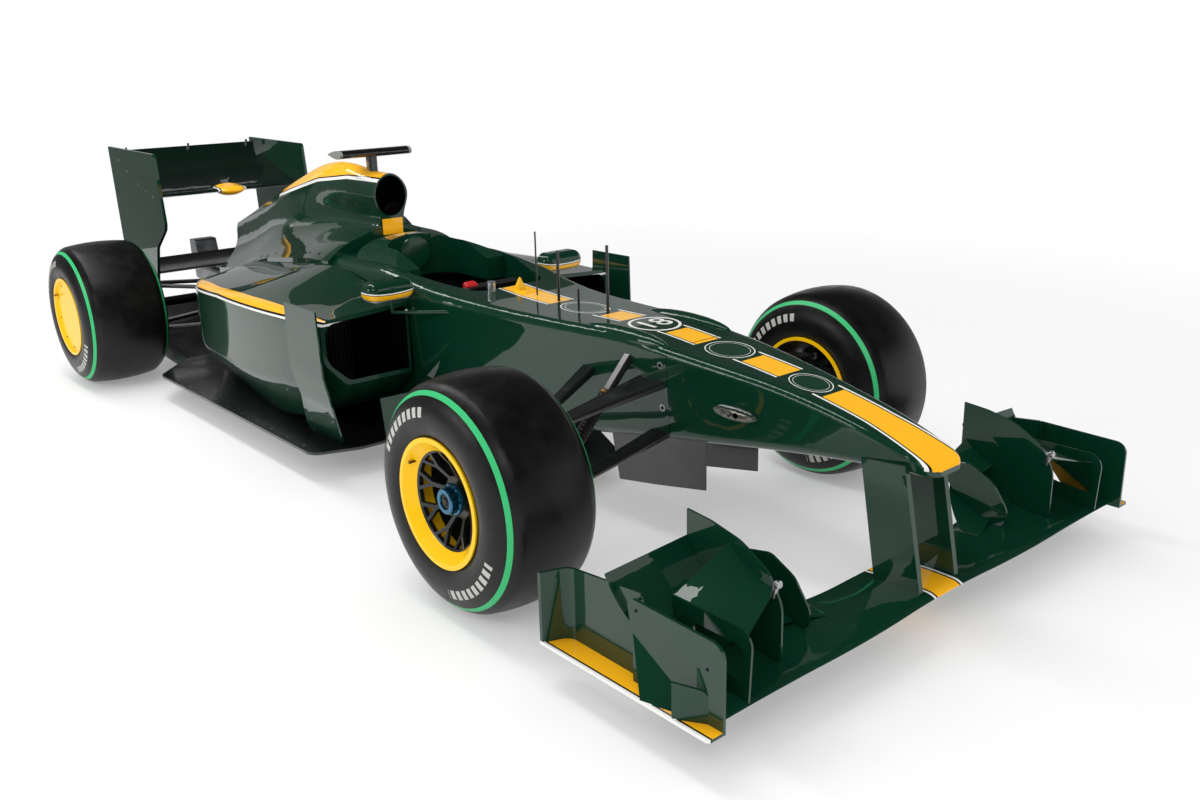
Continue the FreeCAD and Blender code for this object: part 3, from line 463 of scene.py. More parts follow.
def tyreRubber(name, axle, middle):
    t = tyreLook
    look = Look(name, Specular_IOR_Level=0.3)
    point = look.point()
    x, along, up = fromAxle(look, point, axle)
    radius = distance(along, up)
    grime = look.noise(point, 22.0, 6.0, 0.6)
    color = look.mix(look.ranged(grime, 0.35, 0.75, 0.0, 1.0), t["rubber"], t["worn"])
    color = look.mix(between(radius, *t["ring"]), color, tint["tyreGreen"])
    angle = up.sum("ARCTAN2", along)
    arcs = [(angle - turn).sum("COSINE") > math.cos(t["markSpan"]) for turn in t["markTurns"]]
    hatch = (angle * t["markPitch"]).sum("FRACT") > t["markGap"]
    stamp = reduce(larger, arcs) * hatch * between(radius, *t["markRadii"])
    look.set("Base Color", look.mix(stamp, color, t["mark"]))
    look.rough(grime, 0.3, 0.44)
    relief = (abs(abs(x) - middle) < t["lineWidth"]) * (radius > t["treadFrom"])
    for low, high in t["mouldings"]:
        relief = relief + between(radius, low, high)
    look.bump(relief + look.noise(point, 700.0, 2.0) * 0.25, 0.5, 0.0009)
    return look.material


# Wheels: yellow lacquer outside the dish edge, dark anodised spokes and barrel inside it
wheelLook = {
    "dark": shade("3E4143"), "frontDish": 0.137, "rearDish": 0.0, "barrelWithin": 0.80,
    "barrelRadius": 0.166,
}


def wheelMetal(name, axle, dishEdge):
    w = wheelLook
    look = Look(name, Coat_Weight=0.25, Coat_Roughness=0.04, Specular_IOR_Level=0.2)
    point = look.point()
    x, along, up = fromAxle(look, point, axle)
    radius = distance(along, up)
    wear = look.noise(point, 40.0, 4.0)
    barrel = (abs(x) < w["barrelWithin"]) * (radius < w["barrelRadius"])
    dark = larger(radius < dishEdge, barrel)
    look.set("Base Color", look.mix(dark, tint["wheelYellow"], w["dark"]))
    look.set("Metallic", dark * 0.85)
    look.rough(wear, 0.28, 0.38)
    look.bump(wear, 0.05, 0.0005)
    return look.material


# Metals and matt surfaces: a colour that wear darkens, over a fine grain
metalWear = {"scale": 30.0, "breakup": 0.6, "from": 0.35, "dark": 0.7, "smoother": 0.05,
             "strength": 0.12, "depth": 0.0003}
mattWear = {"scale": 16.0, "breakup": 0.5, "from": 0.3, "dark": 0.65, "smoother": 0.06,
            "strength": 0.2, "depth": 0.0004}


def worn(look, w, color, roughness, grain):
    point = look.point()
    wear = look.noise(point, w["scale"], 5.0, w["breakup"])
    darker = tuple(c * w["dark"] for c in color[:3]) + (1.0,)
    look.set("Base Color", look.mix(look.ranged(wear, w["from"], 0.7, 0.0, 1.0), color, darker))
    look.rough(wear, roughness - w["smoother"], roughness + 0.08)
    look.bump(look.noise(point, grain, 2.0), w["strength"], w["depth"])
    return look.material


def metal(name, color, roughness, metallic=1.0, coat=0.0):
    look = Look(name, Metallic=metallic, Coat_Weight=coat, Coat_Roughness=0.06)
    return worn(look, metalWear, color, roughness, 240.0)


def matt(name, color, roughness, grain=500.0):
    return worn(Look(name), mattWear, color, roughness, grain)


materials = {
    "plain": paint("bodyPaint", noBands),
    "nose": paint("nosePaint", noseBands),
    "cover": paint("coverPaint", coverBands),
    "pod": paint("podPaint", podBands),
    "mirror": paint("mirrorPaint", mirrorBands),
    "endplate": paint("endplatePaint", footBands),
    "frontWing": paint("frontWingPaint", frontWingBands),
    # the rear wing uses the darker green, painted shade for the dark reflections on its faces
    "rearWing": paint("rearWingPaint", rearWingBands, "greenPaintedShade", "greenPaintedShade"),
    "headrest": paint("headrestPaint", headrestBands),
    "carbon": carbon("carbonWeave"),
    "camera": cameraHousing("cameraHousing"),
    "frontTyre": tyreRubber("frontTyreRubber", "frontAxle", tyreLook["frontMiddle"]),
    "rearTyre": tyreRubber("rearTyreRubber", "rearAxle", tyreLook["rearMiddle"]),
    "frontRim": wheelMetal("frontWheelLacquer", "frontAxle", wheelLook["frontDish"]),
    "rearRim": wheelMetal("rearWheelLacquer", "rearAxle", wheelLook["rearDish"]),
    "upright": metal("uprightMetal", shade("2C2E31"), 0.4),
    "engine": metal("engineCasting", shade("8A8C8F"), 0.45),
    "plank": matt("plankBoard", shade("6B5236"), 0.7),
    "seat": matt("seatShell", shade("141416"), 0.55),
    "grip": matt("gripRubber", shade("17171A"), 0.6, 900.0),
}

# Material of each CAD node; a name without left or right stands for both sides
lookOf = {
    "nose_cone": "nose", "survival_cell": "nose", "engine_cover": "cover", "side_pod": "pod",
    "headrest": "headrest", "front_wing": "frontWing", "front_flaps": "plain",
    "front_endplate": "endplate", "rear_wing": "rearWing", "rear_endplate": "plain",
    "mirror": "mirror", "side_vanes": "plain", "nose_vanes": "carbon", "beam_wing": "carbon",
    "floor": "carbon", "diffuser": "carbon", "front_arms": "carbon", "rear_arms": "carbon",
    "camera_pod": "camera", "probes": "carbon", "front_upright": "upright",
    "rear_upright": "upright", "engine_block": "engine", "gearbox": "engine", "plank": "plank",
    "seat": "seat", "handwheel": "grip", "tyre_front": "frontTyre", "tyre_rear": "rearTyre",
    "rim_front": "frontRim", "rim_rear": "rearRim",
}
skinLook = {"sharpDegrees": 28.0, "weld": 0.00001}


def smoothed(shape, sharpDegrees):
    # smooth shading with the hard edges kept
    sharp = math.radians(sharpDegrees)
    for edge in shape.edges:
        edge.smooth = len(edge.link_faces) == 2 and edge.calc_face_angle(0.0) < sharp
    for face in shape.faces:
        face.smooth = True


def dressed(nodeName, material):
    # a smooth shaded copy of a CAD node that stands for it, large flat faces kept flat
    mesh = frame["nodes"][nodeName].data.copy()
    shape = bmesh.new()
    shape.from_mesh(mesh)
    bmesh.ops.remove_doubles(shape, verts=shape.verts, dist=skinLook["weld"])
    bmesh.ops.dissolve_degenerate(shape, edges=shape.edges, dist=skinLook["weld"])
    smoothed(shape, skinLook["sharpDegrees"])
    shape.to_mesh(mesh)
    shape.free()
    mesh.materials.clear()
    mesh.materials.append(material)
    piece = linked(nodeName + "_skin", mesh)
    even = piece.modifiers.new("evenShading", "WEIGHTED_NORMAL")
    even.keep_sharp = True
    even.weight = 100
    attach(piece, bodyOf[nodeName])
    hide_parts(nodeName)
    return piece


skins = {}
for shortName, lookName in lookOf.items():
    for nodeName in (shortName, shortName + "_left", shortName + "_right"):
        if nodeName in frame["nodes"]:
            skins[nodeName] = dressed(nodeName, materials[lookName])
print("CAD nodes dressed,", len(skins))


# Helpers for the pieces that scene.py adds
def surfaceOf(*nodeNames):
    points = []
    faces = []
    for nodeName in nodeNames:
        mesh = skins[nodeName].data
        start = len(points)
        points += [v.co.copy() for v in mesh.vertices]
        faces += [[start + i for i in polygon.vertices] for polygon in mesh.polygons]
    return BVHTree.FromPolygons(points, faces)


def onSurface(tree, origin, direction):
    # where a straight line first meets a surface, with the outward normal there
    hit, normal = tree.ray_cast(origin, direction.normalized())[:2]
    if hit is None:
        return None
    if normal.dot(direction) > 0:
        normal = -normal
    return hit, normal


def struck(tree, starts, direction):
    found = [onSurface(tree, spot(*start), Vector(direction)) for start in starts]
    return [row for row in found if row]


def bothSides(rows):
    # mirror (point, facing) pairs to the other side of the car
    other = [(Vector((-p.x, p.y, p.z)), Vector((-f.x, f.y, f.z))) for p, f in rows]
    return rows + other


def evaluated(holder):
    # the final mesh of a scratch object, which is then removed
    graph = bpy.context.evaluated_depsgraph_get()
    mesh = bpy.data.meshes.new_from_object(holder.evaluated_get(graph))
    bpy.data.objects.remove(holder)
    return mesh


def added(name, mesh, body, material):
    mesh.name = name
    mesh.materials.clear()
    mesh.materials.append(material)
    piece = linked(name, mesh)
    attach(piece, body)
    return piece


# Screws, rivets and fasteners: low heads set on points that carry their facing
def fastenerTree():
    tree = bpy.data.node_groups.new("fastenerRows", "GeometryNodeTree")
    inputs = {}
    for label, kind in (("Geometry", "Geometry"), ("Head Radius", "Float"),
                        ("Head Height", "Float"), ("Sides", "Int"), ("Material", "Material")):
        socket = tree.interface.new_socket(label, in_out="INPUT", socket_type="NodeSocket" + kind)
        inputs[label] = socket.identifier
    tree.interface.new_socket("Geometry", in_out="OUTPUT", socket_type="NodeSocketGeometry")
    start, end, head, facing, turn, spread, real, dress = [tree.nodes.new(kind) for kind in (
        "NodeGroupInput", "NodeGroupOutput", "GeometryNodeMeshCylinder",
        "GeometryNodeInputNamedAttribute", "FunctionNodeAlignRotationToVector",
        "GeometryNodeInstanceOnPoints", "GeometryNodeRealizeInstances", "GeometryNodeSetMaterial")]
    head.fill_type = "NGON"
    facing.data_type = "FLOAT_VECTOR"
    facing.inputs["Name"].default_value = "facing"
    turn.axis = "Z"
    for source, output, target, socket in (
            (start, "Sides", head, "Vertices"), (start, "Head Radius", head, "Radius"),
            (start, "Head Height", head, "Depth"), (facing, "Attribute", turn, "Vector"),
            (start, "Geometry", spread, "Points"), (head, "Mesh", spread, "Instance"),
            (turn, "Rotation", spread, "Rotation"), (spread, "Instances", real, "Geometry"),
            (real, "Geometry", dress, "Geometry"), (start, "Material", dress, "Material"),
            (dress, "Geometry", end, "Geometry")):
        tree.links.new(source.outputs[output], target.inputs[socket])
    return tree, inputs


fastenerGroup, fastenerInputs = fastenerTree()


def fastenerRow(name, places, head, material, body="chassis", sides=12):
    # places are (point, facing) pairs in metres, head is its radius and height
    mesh = bpy.data.meshes.new(name + "_points")
    mesh.from_pydata([point for point, facing in places], [], [])
    store = mesh.attributes.new("facing", "FLOAT_VECTOR", "POINT")
    for i, (point, facing) in enumerate(places):
        store.data[i].vector = facing
    holder = linked(name + "_points", mesh)
    step = holder.modifiers.new("heads", "NODES")
    step.node_group = fastenerGroup
    radius, height = head
    for label, value in (("Head Radius", radius), ("Head Height", height), ("Sides", sides),
                         ("Material", material)):
        step[fastenerInputs[label]] = value
    return added(name, evaluated(holder), body, material)


steelLook = metal("fastenerSteel", shade("B9BCC0"), 0.3)
darkSteelLook = metal("fastenerDark", shade("2A2B2E"), 0.38)
fasteners = {
    "noseRing": {"head": (0.011, 0.003), "socket": (0.00682, 0.00375), "station": -72,
                 "heights": (566, 436)},
    "floorEdge": {"head": (0.006, 0.0022), "inset": 0.024, "stations": (1240, 2540, 130)},
    "coverSeam": {"head": (0.007, 0.002), "stations": (1760, 2640, 110), "from": 1750,
                  "across": 274, "narrowing": 0.124},
    "rearEndplate": {"head": (0.006, 0.003),
                     "places": ((3215, 815), (3300, 838), (3400, 862), (3540, 915), (3640, 965),
                                (3340, 440), (3460, 450))},
    "frontEndplate": {"head": (0.0042, 0.003), "across": 858, "places": ((-940, 238), (-728, 288))},
}


def makeFasteners():
    f = fasteners["noseRing"]
    starts = [(400, f["station"], z) for z in f["heights"]]
    rings = bothSides(struck(surfaceOf("nose_cone", "survival_cell"), starts, (-1, 0, 0)))
    fastenerRow("noseJointRings", rings, f["head"], steelLook, sides=20)
    fastenerRow("noseJointSockets", rings, f["socket"], darkSteelLook, sides=6)
    f = fasteners["floorEdge"]
    low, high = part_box("floor")
    rows = [(Vector((high[0] - f["inset"], behind(station), high[2])), Vector((0, 0, 1)))
            for station in range(*f["stations"])]
    fastenerRow("floorFasteners", bothSides(rows), f["head"], steelLook)
    f = fasteners["coverSeam"]
    starts = [(f["across"] - (station - f["from"]) * f["narrowing"], station, 1200)
              for station in range(*f["stations"])]
    rows = struck(surfaceOf("engine_cover"), starts, (0, 0, -1))
    fastenerRow("coverFasteners", bothSides(rows), f["head"], darkSteelLook)
    f = fasteners["rearEndplate"]
    low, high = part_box("rear_endplate_left")
    rows = [(Vector((high[0], behind(station), z / 1000.0)), Vector((1, 0, 0)))
            for station, z in f["places"]]
    fastenerRow("rearEndplateBolts", bothSides(rows), f["head"], steelLook, sides=6)
    f = fasteners["frontEndplate"]
    rows = [(spot(f["across"], station, z), Vector((1, 0, 0))) for station, z in f["places"]]
    fastenerRow("frontEndplateBolts", bothSides(rows), f["head"], darkSteelLook, sides=6)
    print("fasteners set")


makeFasteners()

# Plain race number in the roundel on the nose
numberLook = {"text": "18", "size": 0.118, "thicken": 0.0012, "lift": 0.0006, "height": 0.63}


def makeNumber():
    n = numberLook
    words = bpy.data.curves.new("raceNumber", "FONT")
    words.body = n["text"]
    words.size = n["size"]
    words.align_x = "CENTER"
    words.align_y = "CENTER"
    words.offset = n["thicken"]
    words.resolution_u = 6
    mesh = evaluated(linked("raceNumberText", words))
    top = surfaceOf("survival_cell", "nose_cone")
    centre = behind(noseStripe["roundelStation"])
    for vertex in mesh.vertices:
        here = Vector((vertex.co.x, vertex.co.y + centre, 1.0))
        found = onSurface(top, here, Vector((0, 0, -1)))
        vertex.co = Vector((here.x, here.y, (found[0].z if found else n["height"]) + n["lift"]))
    added("raceNumber", mesh, "chassis",
          matt("numberWhite", tint["white"], 0.35, 900.0))


makeNumber()


def finished(shape, sharpDegrees=32.0):
    smoothed(shape, sharpDegrees)
    mesh = bpy.data.meshes.new("piece")
    shape.to_mesh(mesh)
    shape.free()
    return mesh


def turned(start, direction, profile, sides=48):
    # a profile of (distance along, radius) pairs spun round a line
    line = direction.normalized()
    across = line.orthogonal().normalized()
    upward = line.cross(across)
    turns = [2 * math.pi * i / sides for i in range(sides)]
    spokes = [across * math.cos(turn) + upward * math.sin(turn) for turn in turns]
    shape = bmesh.new()
    rings = []
    for along, radius in profile:
        middle = start + line * along
        points = [middle + rib * radius for rib in spokes] if radius > 0.00001 else [middle]
        rings.append([shape.verts.new(point) for point in points])
    for ring, after in zip(rings, rings[1:]):
        for i in range(sides):
            j = (i + 1) % sides
            corners = [ring[i % len(ring)], ring[j % len(ring)], after[j % len(after)],
                       after[i % len(after)]]
            shape.faces.new(list(dict.fromkeys(corners)))
    bmesh.ops.recalc_face_normals(shape, faces=shape.faces)
    return finished(shape)


def block(centre, size, turn, edge):
    # box with rounded edges, turned as given
    shape = bmesh.new()
    bmesh.ops.create_cube(shape, size=1.0)
    bmesh.ops.scale(shape, vec=size, verts=shape.verts)
    bmesh.ops.bevel(shape, geom=shape.edges, offset=edge, segments=3, affect="EDGES", profile=0.5)
    bmesh.ops.transform(shape, matrix=Matrix.Translation(centre) @ turn.to_4x4(), verts=shape.verts)
    return finished(shape, 50.0)


def spoke(turn):
    # along and up, at an angle in a wheel's plane
    return Vector((0, math.cos(turn), math.sin(turn)))


def hub(side, axle, across):
    return Vector((side * across, place[axle], place["axleHeight"]))


# Centre nuts with pins and teeth, tyre valves, and screws round the rear wheels' covers
wheelParts = {
    "nutColor": shade("1B6C92"), "nutFace": 0.860, "nutRadius": 0.036, "holeRadius": 0.021,
    "boreRadius": 0.0335, "teeth": 10, "tooth": (0.0045, 0.006), "toothBack": -0.008,
    "valves": (("front", "frontAxle", 0.872, 0.148), ("rear", "rearAxle", 0.8815, 0.150)),
    "valveTurn": 0.6, "screws": 9, "screw": (0.004, 0.002), "screwFace": 0.8815,
    "screwRadius": 0.145,
}


def makeWheelParts():
    w = wheelParts
    nutBlue = metal("nutAnodised", w["nutColor"], 0.25, 0.9, 0.5)
    holeLook = matt("nutHole", shade("0A0A0B"), 0.5)
    brass = metal("valveBrass", shade("B08A3C"), 0.3)
    r = w["nutRadius"]
    hole = w["holeRadius"]
    bore = w["boreRadius"]
    collar = [(-0.030, bore), (-0.030, r + 0.006), (-0.024, r + 0.008), (-0.018, r + 0.006),
              (-0.016, r), (0.003, r), (0.006, r - 0.003), (0.006, hole + 0.002), (0.004, hole),
              (0.0004, hole), (0.0004, bore), (-0.030, bore)]
    pin = [(0.006, 0.0), (0.006, 0.009), (0.0016, 0.012), (0.0016, hole - 0.002),
           (0.0004, hole - 0.001), (0.0004, 0.0)]
    stem = [(-0.008, 0.0), (-0.008, 0.004), (0.010, 0.004), (0.011, 0.0048), (0.019, 0.0048),
            (0.020, 0.004), (0.020, 0.0)]
    for side, sideName in leftRight:
        out = Vector((side, 0, 0))
        centre = hub(side, "frontAxle", w["nutFace"])
        frontWheel = "front_" + sideName + "_wheel"
        added("wheelNut_" + sideName, turned(centre, out, collar), frontWheel,
              nutBlue)
        added("wheelNutPin_" + sideName, turned(centre, out, pin, 32), frontWheel,
              holeLook)
        teeth = []
        for i in range(w["teeth"]):
            facing = spoke(2 * math.pi * i / w["teeth"])
            teeth.append((centre + out * w["toothBack"] + facing * (r + 0.0005), facing))
        fastenerRow("wheelNutTeeth_" + sideName, teeth, w["tooth"], nutBlue, frontWheel,
                    8)
        for end, axle, across, radius in w["valves"]:
            foot = hub(side, axle, across) + spoke(w["valveTurn"]) * radius
            added("valve_" + end + "_" + sideName, turned(foot, out, stem, 16),
                  end + "_" + sideName + "_wheel", brass)
        centre = hub(side, "rearAxle", w["screwFace"])
        screws = []
        for i in range(w["screws"]):
            turn = math.pi / 2 - 2 * math.pi * (i + 0.5) / w["screws"]
            screws.append((centre + spoke(turn) * w["screwRadius"], out))
        fastenerRow("rearCoverScrews_" + sideName, screws, w["screw"], darkSteelLook,
                    "rear_" + sideName + "_wheel")
    print("wheel parts set")


makeWheelParts()

# Front push rods: a ribbed boot under a bronze collar. A rib is (share of its pitch, rise) pairs.
pushRod = {
    "low": (556, 4, 225), "high": (120, 66, 600), "from": 0.34, "to": 0.66, "radius": 0.0185,
    "bore": 0.008, "ribs": 15, "rib": ((0.3, 0.0022), (0.7, 0.0022), (0.95, -0.0006)),
    "bronze": shade("7A5C3A"),
}


def makePushRodBoots():
    p = pushRod
    rubber = matt("bootRubber", shade("0D0D0E"), 0.5, 300.0)
    bronze = metal("collarBronze", p["bronze"], 0.35)
    r = p["radius"]
    bore = p["bore"]
    collar = [(-0.016, bore), (-0.016, r), (-0.012, r + 0.003), (-0.003, r + 0.003), (0.0, r),
              (0.0, bore)]
    for side, sideName in leftRight:
        low, high = [spot(side * x, station, z) for x, station, z in (p["low"], p["high"])]
        line = low - high
        start = high + line * p["from"]
        length = line.length * (p["to"] - p["from"])
        boot = [(0.0, bore), (0.0, r)]
        for i in range(p["ribs"]):
            boot += [(length * (i + share) / p["ribs"], r + rise) for share, rise in p["rib"]]
        boot += [(length, r - 0.001), (length, bore)]
        added("pushRodBoot_" + sideName, turned(start, line, boot, 32), "chassis", rubber)
        added("pushRodCollar_" + sideName, turned(start, line, collar, 32), "chassis",
              bronze)
    print("push rod boots set")


makePushRodBoots()

# Cockpit: screen, buttons and a red knob on the handwheel, a pad behind the head, and a marker
# and a post on the tub
cockpit = {
    "centre": (0, 985, 560), "tilt": 22.0, "faceLift": 0.026, "screen": (0.100, 0.006, 0.046),
    "screenPlace": (0.0, 0.026), "knob": (0.052, 0.034, 0.030), "knobPlace": (-0.088, 0.078),
    "red": shade("C8141C"), "button": (0.0055, 0.010),
    "buttons": (("Red", shade("C01A1E"), 0.062), ("Blue", shade("1E4FA0"), 0.048),
                ("Green", shade("1F8A46"), 0.030), ("Amber", shade("E0A020"), 0.012)),
    "headPad": (0, 1488, 690), "headPadRadius": 0.070, "headPadColor": shade("0A3A27"),
    "noseMarker": (0, 800, 900), "cockpitPost": (-97, 837, 900),
}


def makeCockpit():
    c = cockpit
    tilt = math.radians(c["tilt"])
    right = Vector((1, 0, 0))
    out = Vector((0, math.cos(tilt), math.sin(tilt)))
    upward = Vector((0, -math.sin(tilt), math.cos(tilt)))
    turn = Matrix((right, out, upward)).transposed()
    face = spot(*c["centre"]) + out * c["faceLift"]

    def onWheel(across, up):
        return face + right * across + upward * up

    added("wheelScreen", block(onWheel(*c["screenPlace"]), c["screen"], turn, 0.002),
          "steering_wheel", matt("screenGlass", shade("0C1418"), 0.12, 900.0))
    for n, (colorName, color, across) in enumerate(c["buttons"]):
        rows = []
        for side in (1, -1):
            rows.append((onWheel(across * side, -0.018 - 0.014 * (n % 2)), out))
            rows.append((onWheel(0.066 * side, 0.052 - 0.018 * n), out))
        fastenerRow("wheelButtons" + colorName, rows, c["button"],
                    matt("button" + colorName, color, 0.35, 700.0), "steering_wheel",
                    16)
    added("wheelKnob", block(onWheel(*c["knobPlace"]), c["knob"], turn, 0.010), "steering_wheel",
          matt("knobRed", c["red"], 0.3, 700.0))
    r = c["headPadRadius"]
    dome = [(0.0, 0.0), (0.0, r), (0.004, r), (0.009, r - 0.004), (0.013, r - 0.016),
            (0.015, r * 0.45), (0.016, 0.0)]
    piece = added("headPad", turned(spot(*c["headPad"]), Vector((0, -1, 0)), dome, 64), "chassis",
                  matt("headPadCover", c["headPadColor"], 0.2, 260.0))
    marker = [(-0.001, 0.0), (-0.001, 0.020), (0.004, 0.021), (0.040, 0.004), (0.043, 0.0)]
    post = [(-0.002, 0.0), (-0.002, 0.015), (0.030, 0.015), (0.033, 0.013), (0.034, 0.0)]
    tub = surfaceOf("survival_cell")
    for name, profile, sides, material in (
            ("noseMarker", marker, 4, matt("markerYellow", tint["wheelYellow"], 0.4, 700.0)),
            ("cockpitPost", post, 32, metal("postAluminium", shade("C8CACB"), 0.3))):
        for foot, normal in struck(tub, [c[name]], (0, 0, -1)):
            added(name, turned(foot, Vector((0, 0, 1)), profile, sides), "chassis",
                  material)
    print("cockpit set")


makeCockpit()

# Radiator cores seen down the side pod intakes, with painted shade in the gaps between the fins
coreLook = {
    "station": 1490, "inner": 0.318, "outer": 0.570, "low": 0.235, "high": 0.555, "thick": 0.04,
    "pitch": 0.004, "pipePitch": 0.016,
}


def makeRadiators():
    c = coreLook
    look = Look("radiatorFins", Metallic=0.7)
    point = look.point()
    x, y, z = look.parts(point)
    fin = (z / c["pitch"]).sum("FRACT")
    pipe = (x / c["pipePitch"]).sum("FRACT")
    color = look.mix(pipe > 0.78, shade("3A3C3E"), shade("77797B"))
    # near-black bands between the fins are painted shade in the gaps
    look.set("Base Color", look.mix(fin > 0.55, color, shade("141516")))
    look.rough(look.noise(point, 60.0, 3.0), 0.4, 0.6)
    look.bump(fin, 0.4, 0.001)
    size = (c["outer"] - c["inner"], c["thick"], c["high"] - c["low"])
    for side, sideName in leftRight:
        centre = Vector((side * (c["inner"] + c["outer"]) / 2, behind(c["station"]),
                         (c["low"] + c["high"]) / 2))
        added("radiatorCore_" + sideName, block(centre, size, Matrix.Identity(3), 0.004), "chassis",
              look.material)
    print("radiators set")


makeRadiators()

# Mirror glass, rear light, lenses of the nose cameras, and flap adjusters
smallParts = {
    "glass": (381, 1072.6, 663), "glassHalf": (0.083, 0.0275),
    "lightStation": 3698.4, "lightHalfWidth": 0.044, "lightHeights": (0.395, 0.505),
    "cellPitch": 0.011, "cellRadius": 0.34,
    "lens": (0.0085, 0.002), "lensStations": (-352, -326, -300), "lensHeight": 474,
    "adjuster": (590, -887, 302), "adjusterSize": (0.013, 0.011, 0.040), "adjusterLean": 14.0,
    "capPlace": (0, -0.004, 0.016), "capFacing": (0, -1, 0.25),
}


def pill(centre, halfWidth, halfHeight, steps=16):
    # outline of a rounded bar across the car, facing backward
    points = []
    straight = halfWidth - halfHeight
    for end in (1, -1):
        for i in range(steps + 1):
            turn = math.pi * (i / steps - 0.5)
            points.append(centre + Vector((end * (straight + halfHeight * math.cos(turn)), 0,
                                           end * halfHeight * math.sin(turn))))
    points.reverse()
    return points


def flatMesh(outline):
    mesh = bpy.data.meshes.new("flat")
    mesh.from_pydata(outline, [], [tuple(range(len(outline)))])
    return mesh


def makeMirrorGlass():
    s = smallParts
    look = Look("mirrorGlass", Metallic=1.0)
    smear = look.noise(look.point(), 26.0, 4.0)
    look.set("Base Color", look.mix(smear, shade("C9CED2"), shade("B9C0C6")))
    look.rough(smear, 0.02, 0.06)
    x, station, z = s["glass"]
    for side, sideName in leftRight:
        ring = pill(spot(side * x, station, z), *s["glassHalf"])
        added("mirrorGlass_" + sideName, flatMesh(ring), "chassis", look.material)


def makeRearLight():
    s = smallParts
    look = Look("rearLightLens", Coat_Weight=1.0, Coat_Roughness=0.05)
    x, y, z = look.parts(look.point())
    across, up = [(wire / s["cellPitch"]).sum("FRACT") - 0.5 for wire in (x, z)]
    dot = distance(across, up) < s["cellRadius"]
    look.set("Base Color", look.mix(dot, shade("4A0506"), shade("C4161A")))
    look.set("Roughness", look.ranged(dot, 0.0, 1.0, 0.35, 0.2))
    half = s["lightHalfWidth"]
    low, high = s["lightHeights"]
    panel = [Vector((x, behind(s["lightStation"]), z))
             for x, z in ((half, low), (-half, low), (-half, high), (half, high))]
    added("rearLight", flatMesh(panel), "chassis", look.material)


def makeSmallParts():
    s = smallParts
    makeMirrorGlass()
    makeRearLight()
    starts = [(400, station, s["lensHeight"]) for station in s["lensStations"]]
    rows = struck(surfaceOf("camera_pod"), starts, (-1, 0, 0))
    fastenerRow("noseCameraLenses", bothSides(rows), s["lens"],
                metal("cameraLens", shade("101418"), 0.08, 0.6, 1.0), "chassis", 24)
    bare = metal("adjusterAluminium", shade("B4B6B4"), 0.3)
    turn = Matrix.Rotation(math.radians(s["adjusterLean"]), 3, "X")
    cap = [(0.0, 0.0), (0.0, 0.010), (0.008, 0.010), (0.010, 0.008), (0.010, 0.0)]
    x, station, z = s["adjuster"]
    for side, sideName in leftRight:
        found = surfaceOf("front_flaps_" + sideName).find_nearest(spot(side * x, station, z))
        added("flapAdjuster_" + sideName, block(found[0], s["adjusterSize"], turn, 0.002),
              "chassis", bare)
        top = found[0] + Vector(s["capPlace"])
        added("flapAdjusterCap_" + sideName, turned(top, Vector(s["capFacing"]), cap, 20),
              "chassis", bare)
    print("small parts set, flap adjuster", round(found[3] * 1000, 1), "mm from its place")


makeSmallParts()

# Studio: white floor that runs out to pure white, and a dark ceiling and screens that only
# reflections see. An upright screen is given by two ends, its lower edge and its grey.
studio = {
    "floorSize": 90.0, "floorShade": 0.93, "floorGlow": 0.25, "whiteFrom": 2.6, "whiteTo": 5.5,
    "white": 1.0, "fill": 0.88, "ceilingHeight": 4.7, "near": -9.0, "far": 14.0, "dark": 0.02,
    "screens": (("left", (-6.5, -6.5), (-6.5, 1.0), 0.9, 0.02),
                ("front", (2.0, -6.5), (-6.5, -6.5), 0.9, 0.02),
                ("back", (-10.0, 5.5), (-1.0, 5.5), 0.0, 0.12),
                ("right", (-1.0, 9.5), (12.0, 9.5), 0.0, 0.4)),
}


def flatPiece(name, corners, material):
    mesh = flatMesh(corners)
    mesh.materials.append(material)
    piece = linked(name, mesh)
    return piece


def greyLook(name, grey, roughness):
    return Look(name, Base_Color=(grey, grey, grey, 1.0), Roughness=roughness)


def makeFloor():
    s = studio
    half = s["floorSize"] / 2.0
    look = greyLook("studioFloorPaint", s["floorShade"], 0.6)
    x, y, z = look.parts(look.point())
    far = look.ranged(distance(x, y), s["whiteFrom"], s["whiteTo"], s["floorGlow"], 1.0)
    glow = look.tree.nodes.new("ShaderNodeEmission")
    glow.inputs[0].default_value = (1.0, 1.0, 1.0, 1.0)
    glow.inputs[1].default_value = s["white"]
    blend = look.tree.nodes.new("ShaderNodeMixShader")
    look.tree.links.new(far.socket, blend.inputs[0])
    look.tree.links.new(look.shader.outputs[0], blend.inputs[1])
    look.tree.links.new(glow.outputs[0], blend.inputs[2])
    look.tree.links.new(blend.outputs[0], look.output.inputs[0])
    corners = [(-half, -half, 0), (half, -half, 0), (half, half, 0), (-half, half, 0)]
    flatPiece("studioFloor", corners, look.material)


def makeScreens():
    s = studio
    top = s["ceilingHeight"]
    near = s["near"]
    far = s["far"]
    ceiling = [(near, near, top), (near, far, top), (far, far, top), (far, near, top)]
    made = [flatPiece("ceilingScreen", ceiling,
                      greyLook("studioCeilingScreen", s["dark"], 0.9).material)]
    for name, start, end, low, grey in s["screens"]:
        corners = [(*start, low), (*start, top), (*end, top), (*end, low)]
        material = greyLook("studio" + name.capitalize() + "Screen", grey, 0.9).material
        made.append(flatPiece(name + "Screen", corners, material))
    for screen in made:
        screen.visible_camera = False
        screen.visible_diffuse = False


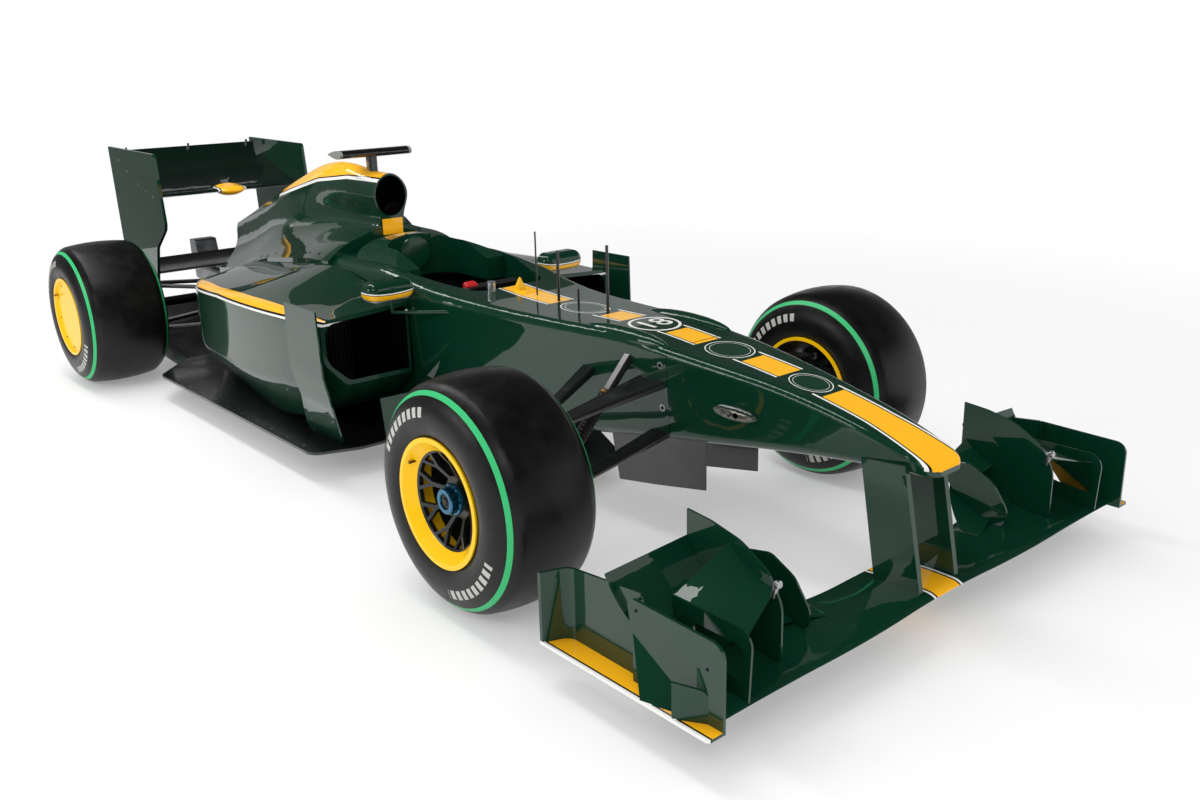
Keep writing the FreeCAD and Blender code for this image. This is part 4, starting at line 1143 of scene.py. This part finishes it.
def makeWorld():
    # white to the camera and in reflections, a little darker as fill light
    world = bpy.data.worlds.new("studio")
    bpy.context.scene.world = world
    world.use_nodes = True
    tree = world.node_tree
    tree.nodes.clear()
    output, mixer, path, shows, either, dim, bright = [tree.nodes.new(kind) for kind in (
        "ShaderNodeOutputWorld", "ShaderNodeMixShader", "ShaderNodeLightPath", "ShaderNodeMath",
        "ShaderNodeMath", "ShaderNodeBackground", "ShaderNodeBackground")]
    shows.operation = "ADD"
    either.operation = "ADD"
    either.use_clamp = True
    for light, strength in ((dim, studio["fill"]), (bright, studio["white"])):
        light.inputs[0].default_value = (1.0, 1.0, 1.0, 1.0)
        light.inputs[1].default_value = strength
    for source, target in (
            (path.outputs["Is Camera Ray"], shows.inputs[0]),
            (path.outputs["Is Glossy Ray"], shows.inputs[1]), (shows.outputs[0], either.inputs[0]),
            (path.outputs["Is Transmission Ray"], either.inputs[1]),
            (either.outputs[0], mixer.inputs[0]), (dim.outputs[0], mixer.inputs[1]),
            (bright.outputs[0], mixer.inputs[2]), (mixer.outputs[0], output.inputs[0])):
        tree.links.new(source, target)


# Area lamps: place, target, size across and along, and power
lamps = {
    "overheadStrip": ((-1.0, 2.2, 4.5), (-1.0, 2.2, 0.0), (0.8, 7.5), 120.0),
    "frontBox": ((-3.4, -4.6, 4.2), (0.0, -0.8, 0.3), (2.6, 2.2), 60.0),
    "leftBox": ((-5.6, 1.2, 3.0), (0.0, 0.6, 0.4), (3.2, 1.4), 60.0),
}


def makeLamps():
    for name, (position, target, size, power) in lamps.items():
        data = bpy.data.lights.new(name, "AREA")
        data.shape = "RECTANGLE"
        data.size, data.size_y = size
        data.energy = power
        lamp = linked(name, data)
        lamp.location = position
        facing = Vector(target) - Vector(position)
        if abs(facing.x) + abs(facing.y) > 0.01:
            lamp.rotation_euler = facing.to_track_quat("-Z", "Y").to_euler()


makeFloor()
makeScreens()
makeWorld()
makeLamps()

# Camera at the photograph's angle
cameraView = {
    "place": (-2.3065, -3.7234, 1.4357), "turn": -40.4, "down": 17.3, "roll": -1.4,
    "focalPixels": 1119.9, "imageWidth": 1200.0, "sensor": 36.0,
}


def makeCamera():
    c = cameraView
    turn, down, roll = [math.radians(c[key]) for key in ("turn", "down", "roll")]
    back = Vector((math.sin(turn) * math.cos(down), -math.cos(turn) * math.cos(down),
                   math.sin(down)))
    right = (-back).cross(Vector((0, 0, 1))).normalized()
    up = right.cross(-back)
    tiltedRight = right * math.cos(roll) + up * math.sin(roll)
    tiltedUp = up * math.cos(roll) - right * math.sin(roll)
    data = bpy.data.cameras.new("photoCamera")
    data.sensor_width = c["sensor"]
    data.sensor_fit = "HORIZONTAL"
    data.lens = c["focalPixels"] * c["sensor"] / c["imageWidth"]
    camera = linked("photoCamera", data)
    facing = Matrix((tiltedRight, tiltedUp, back)).transposed().to_4x4()
    camera.matrix_world = Matrix.Translation(c["place"]) @ facing
    bpy.context.scene.camera = camera


makeCamera()
bpy.context.scene.view_settings.view_transform = "Standard"
print("studio ready")
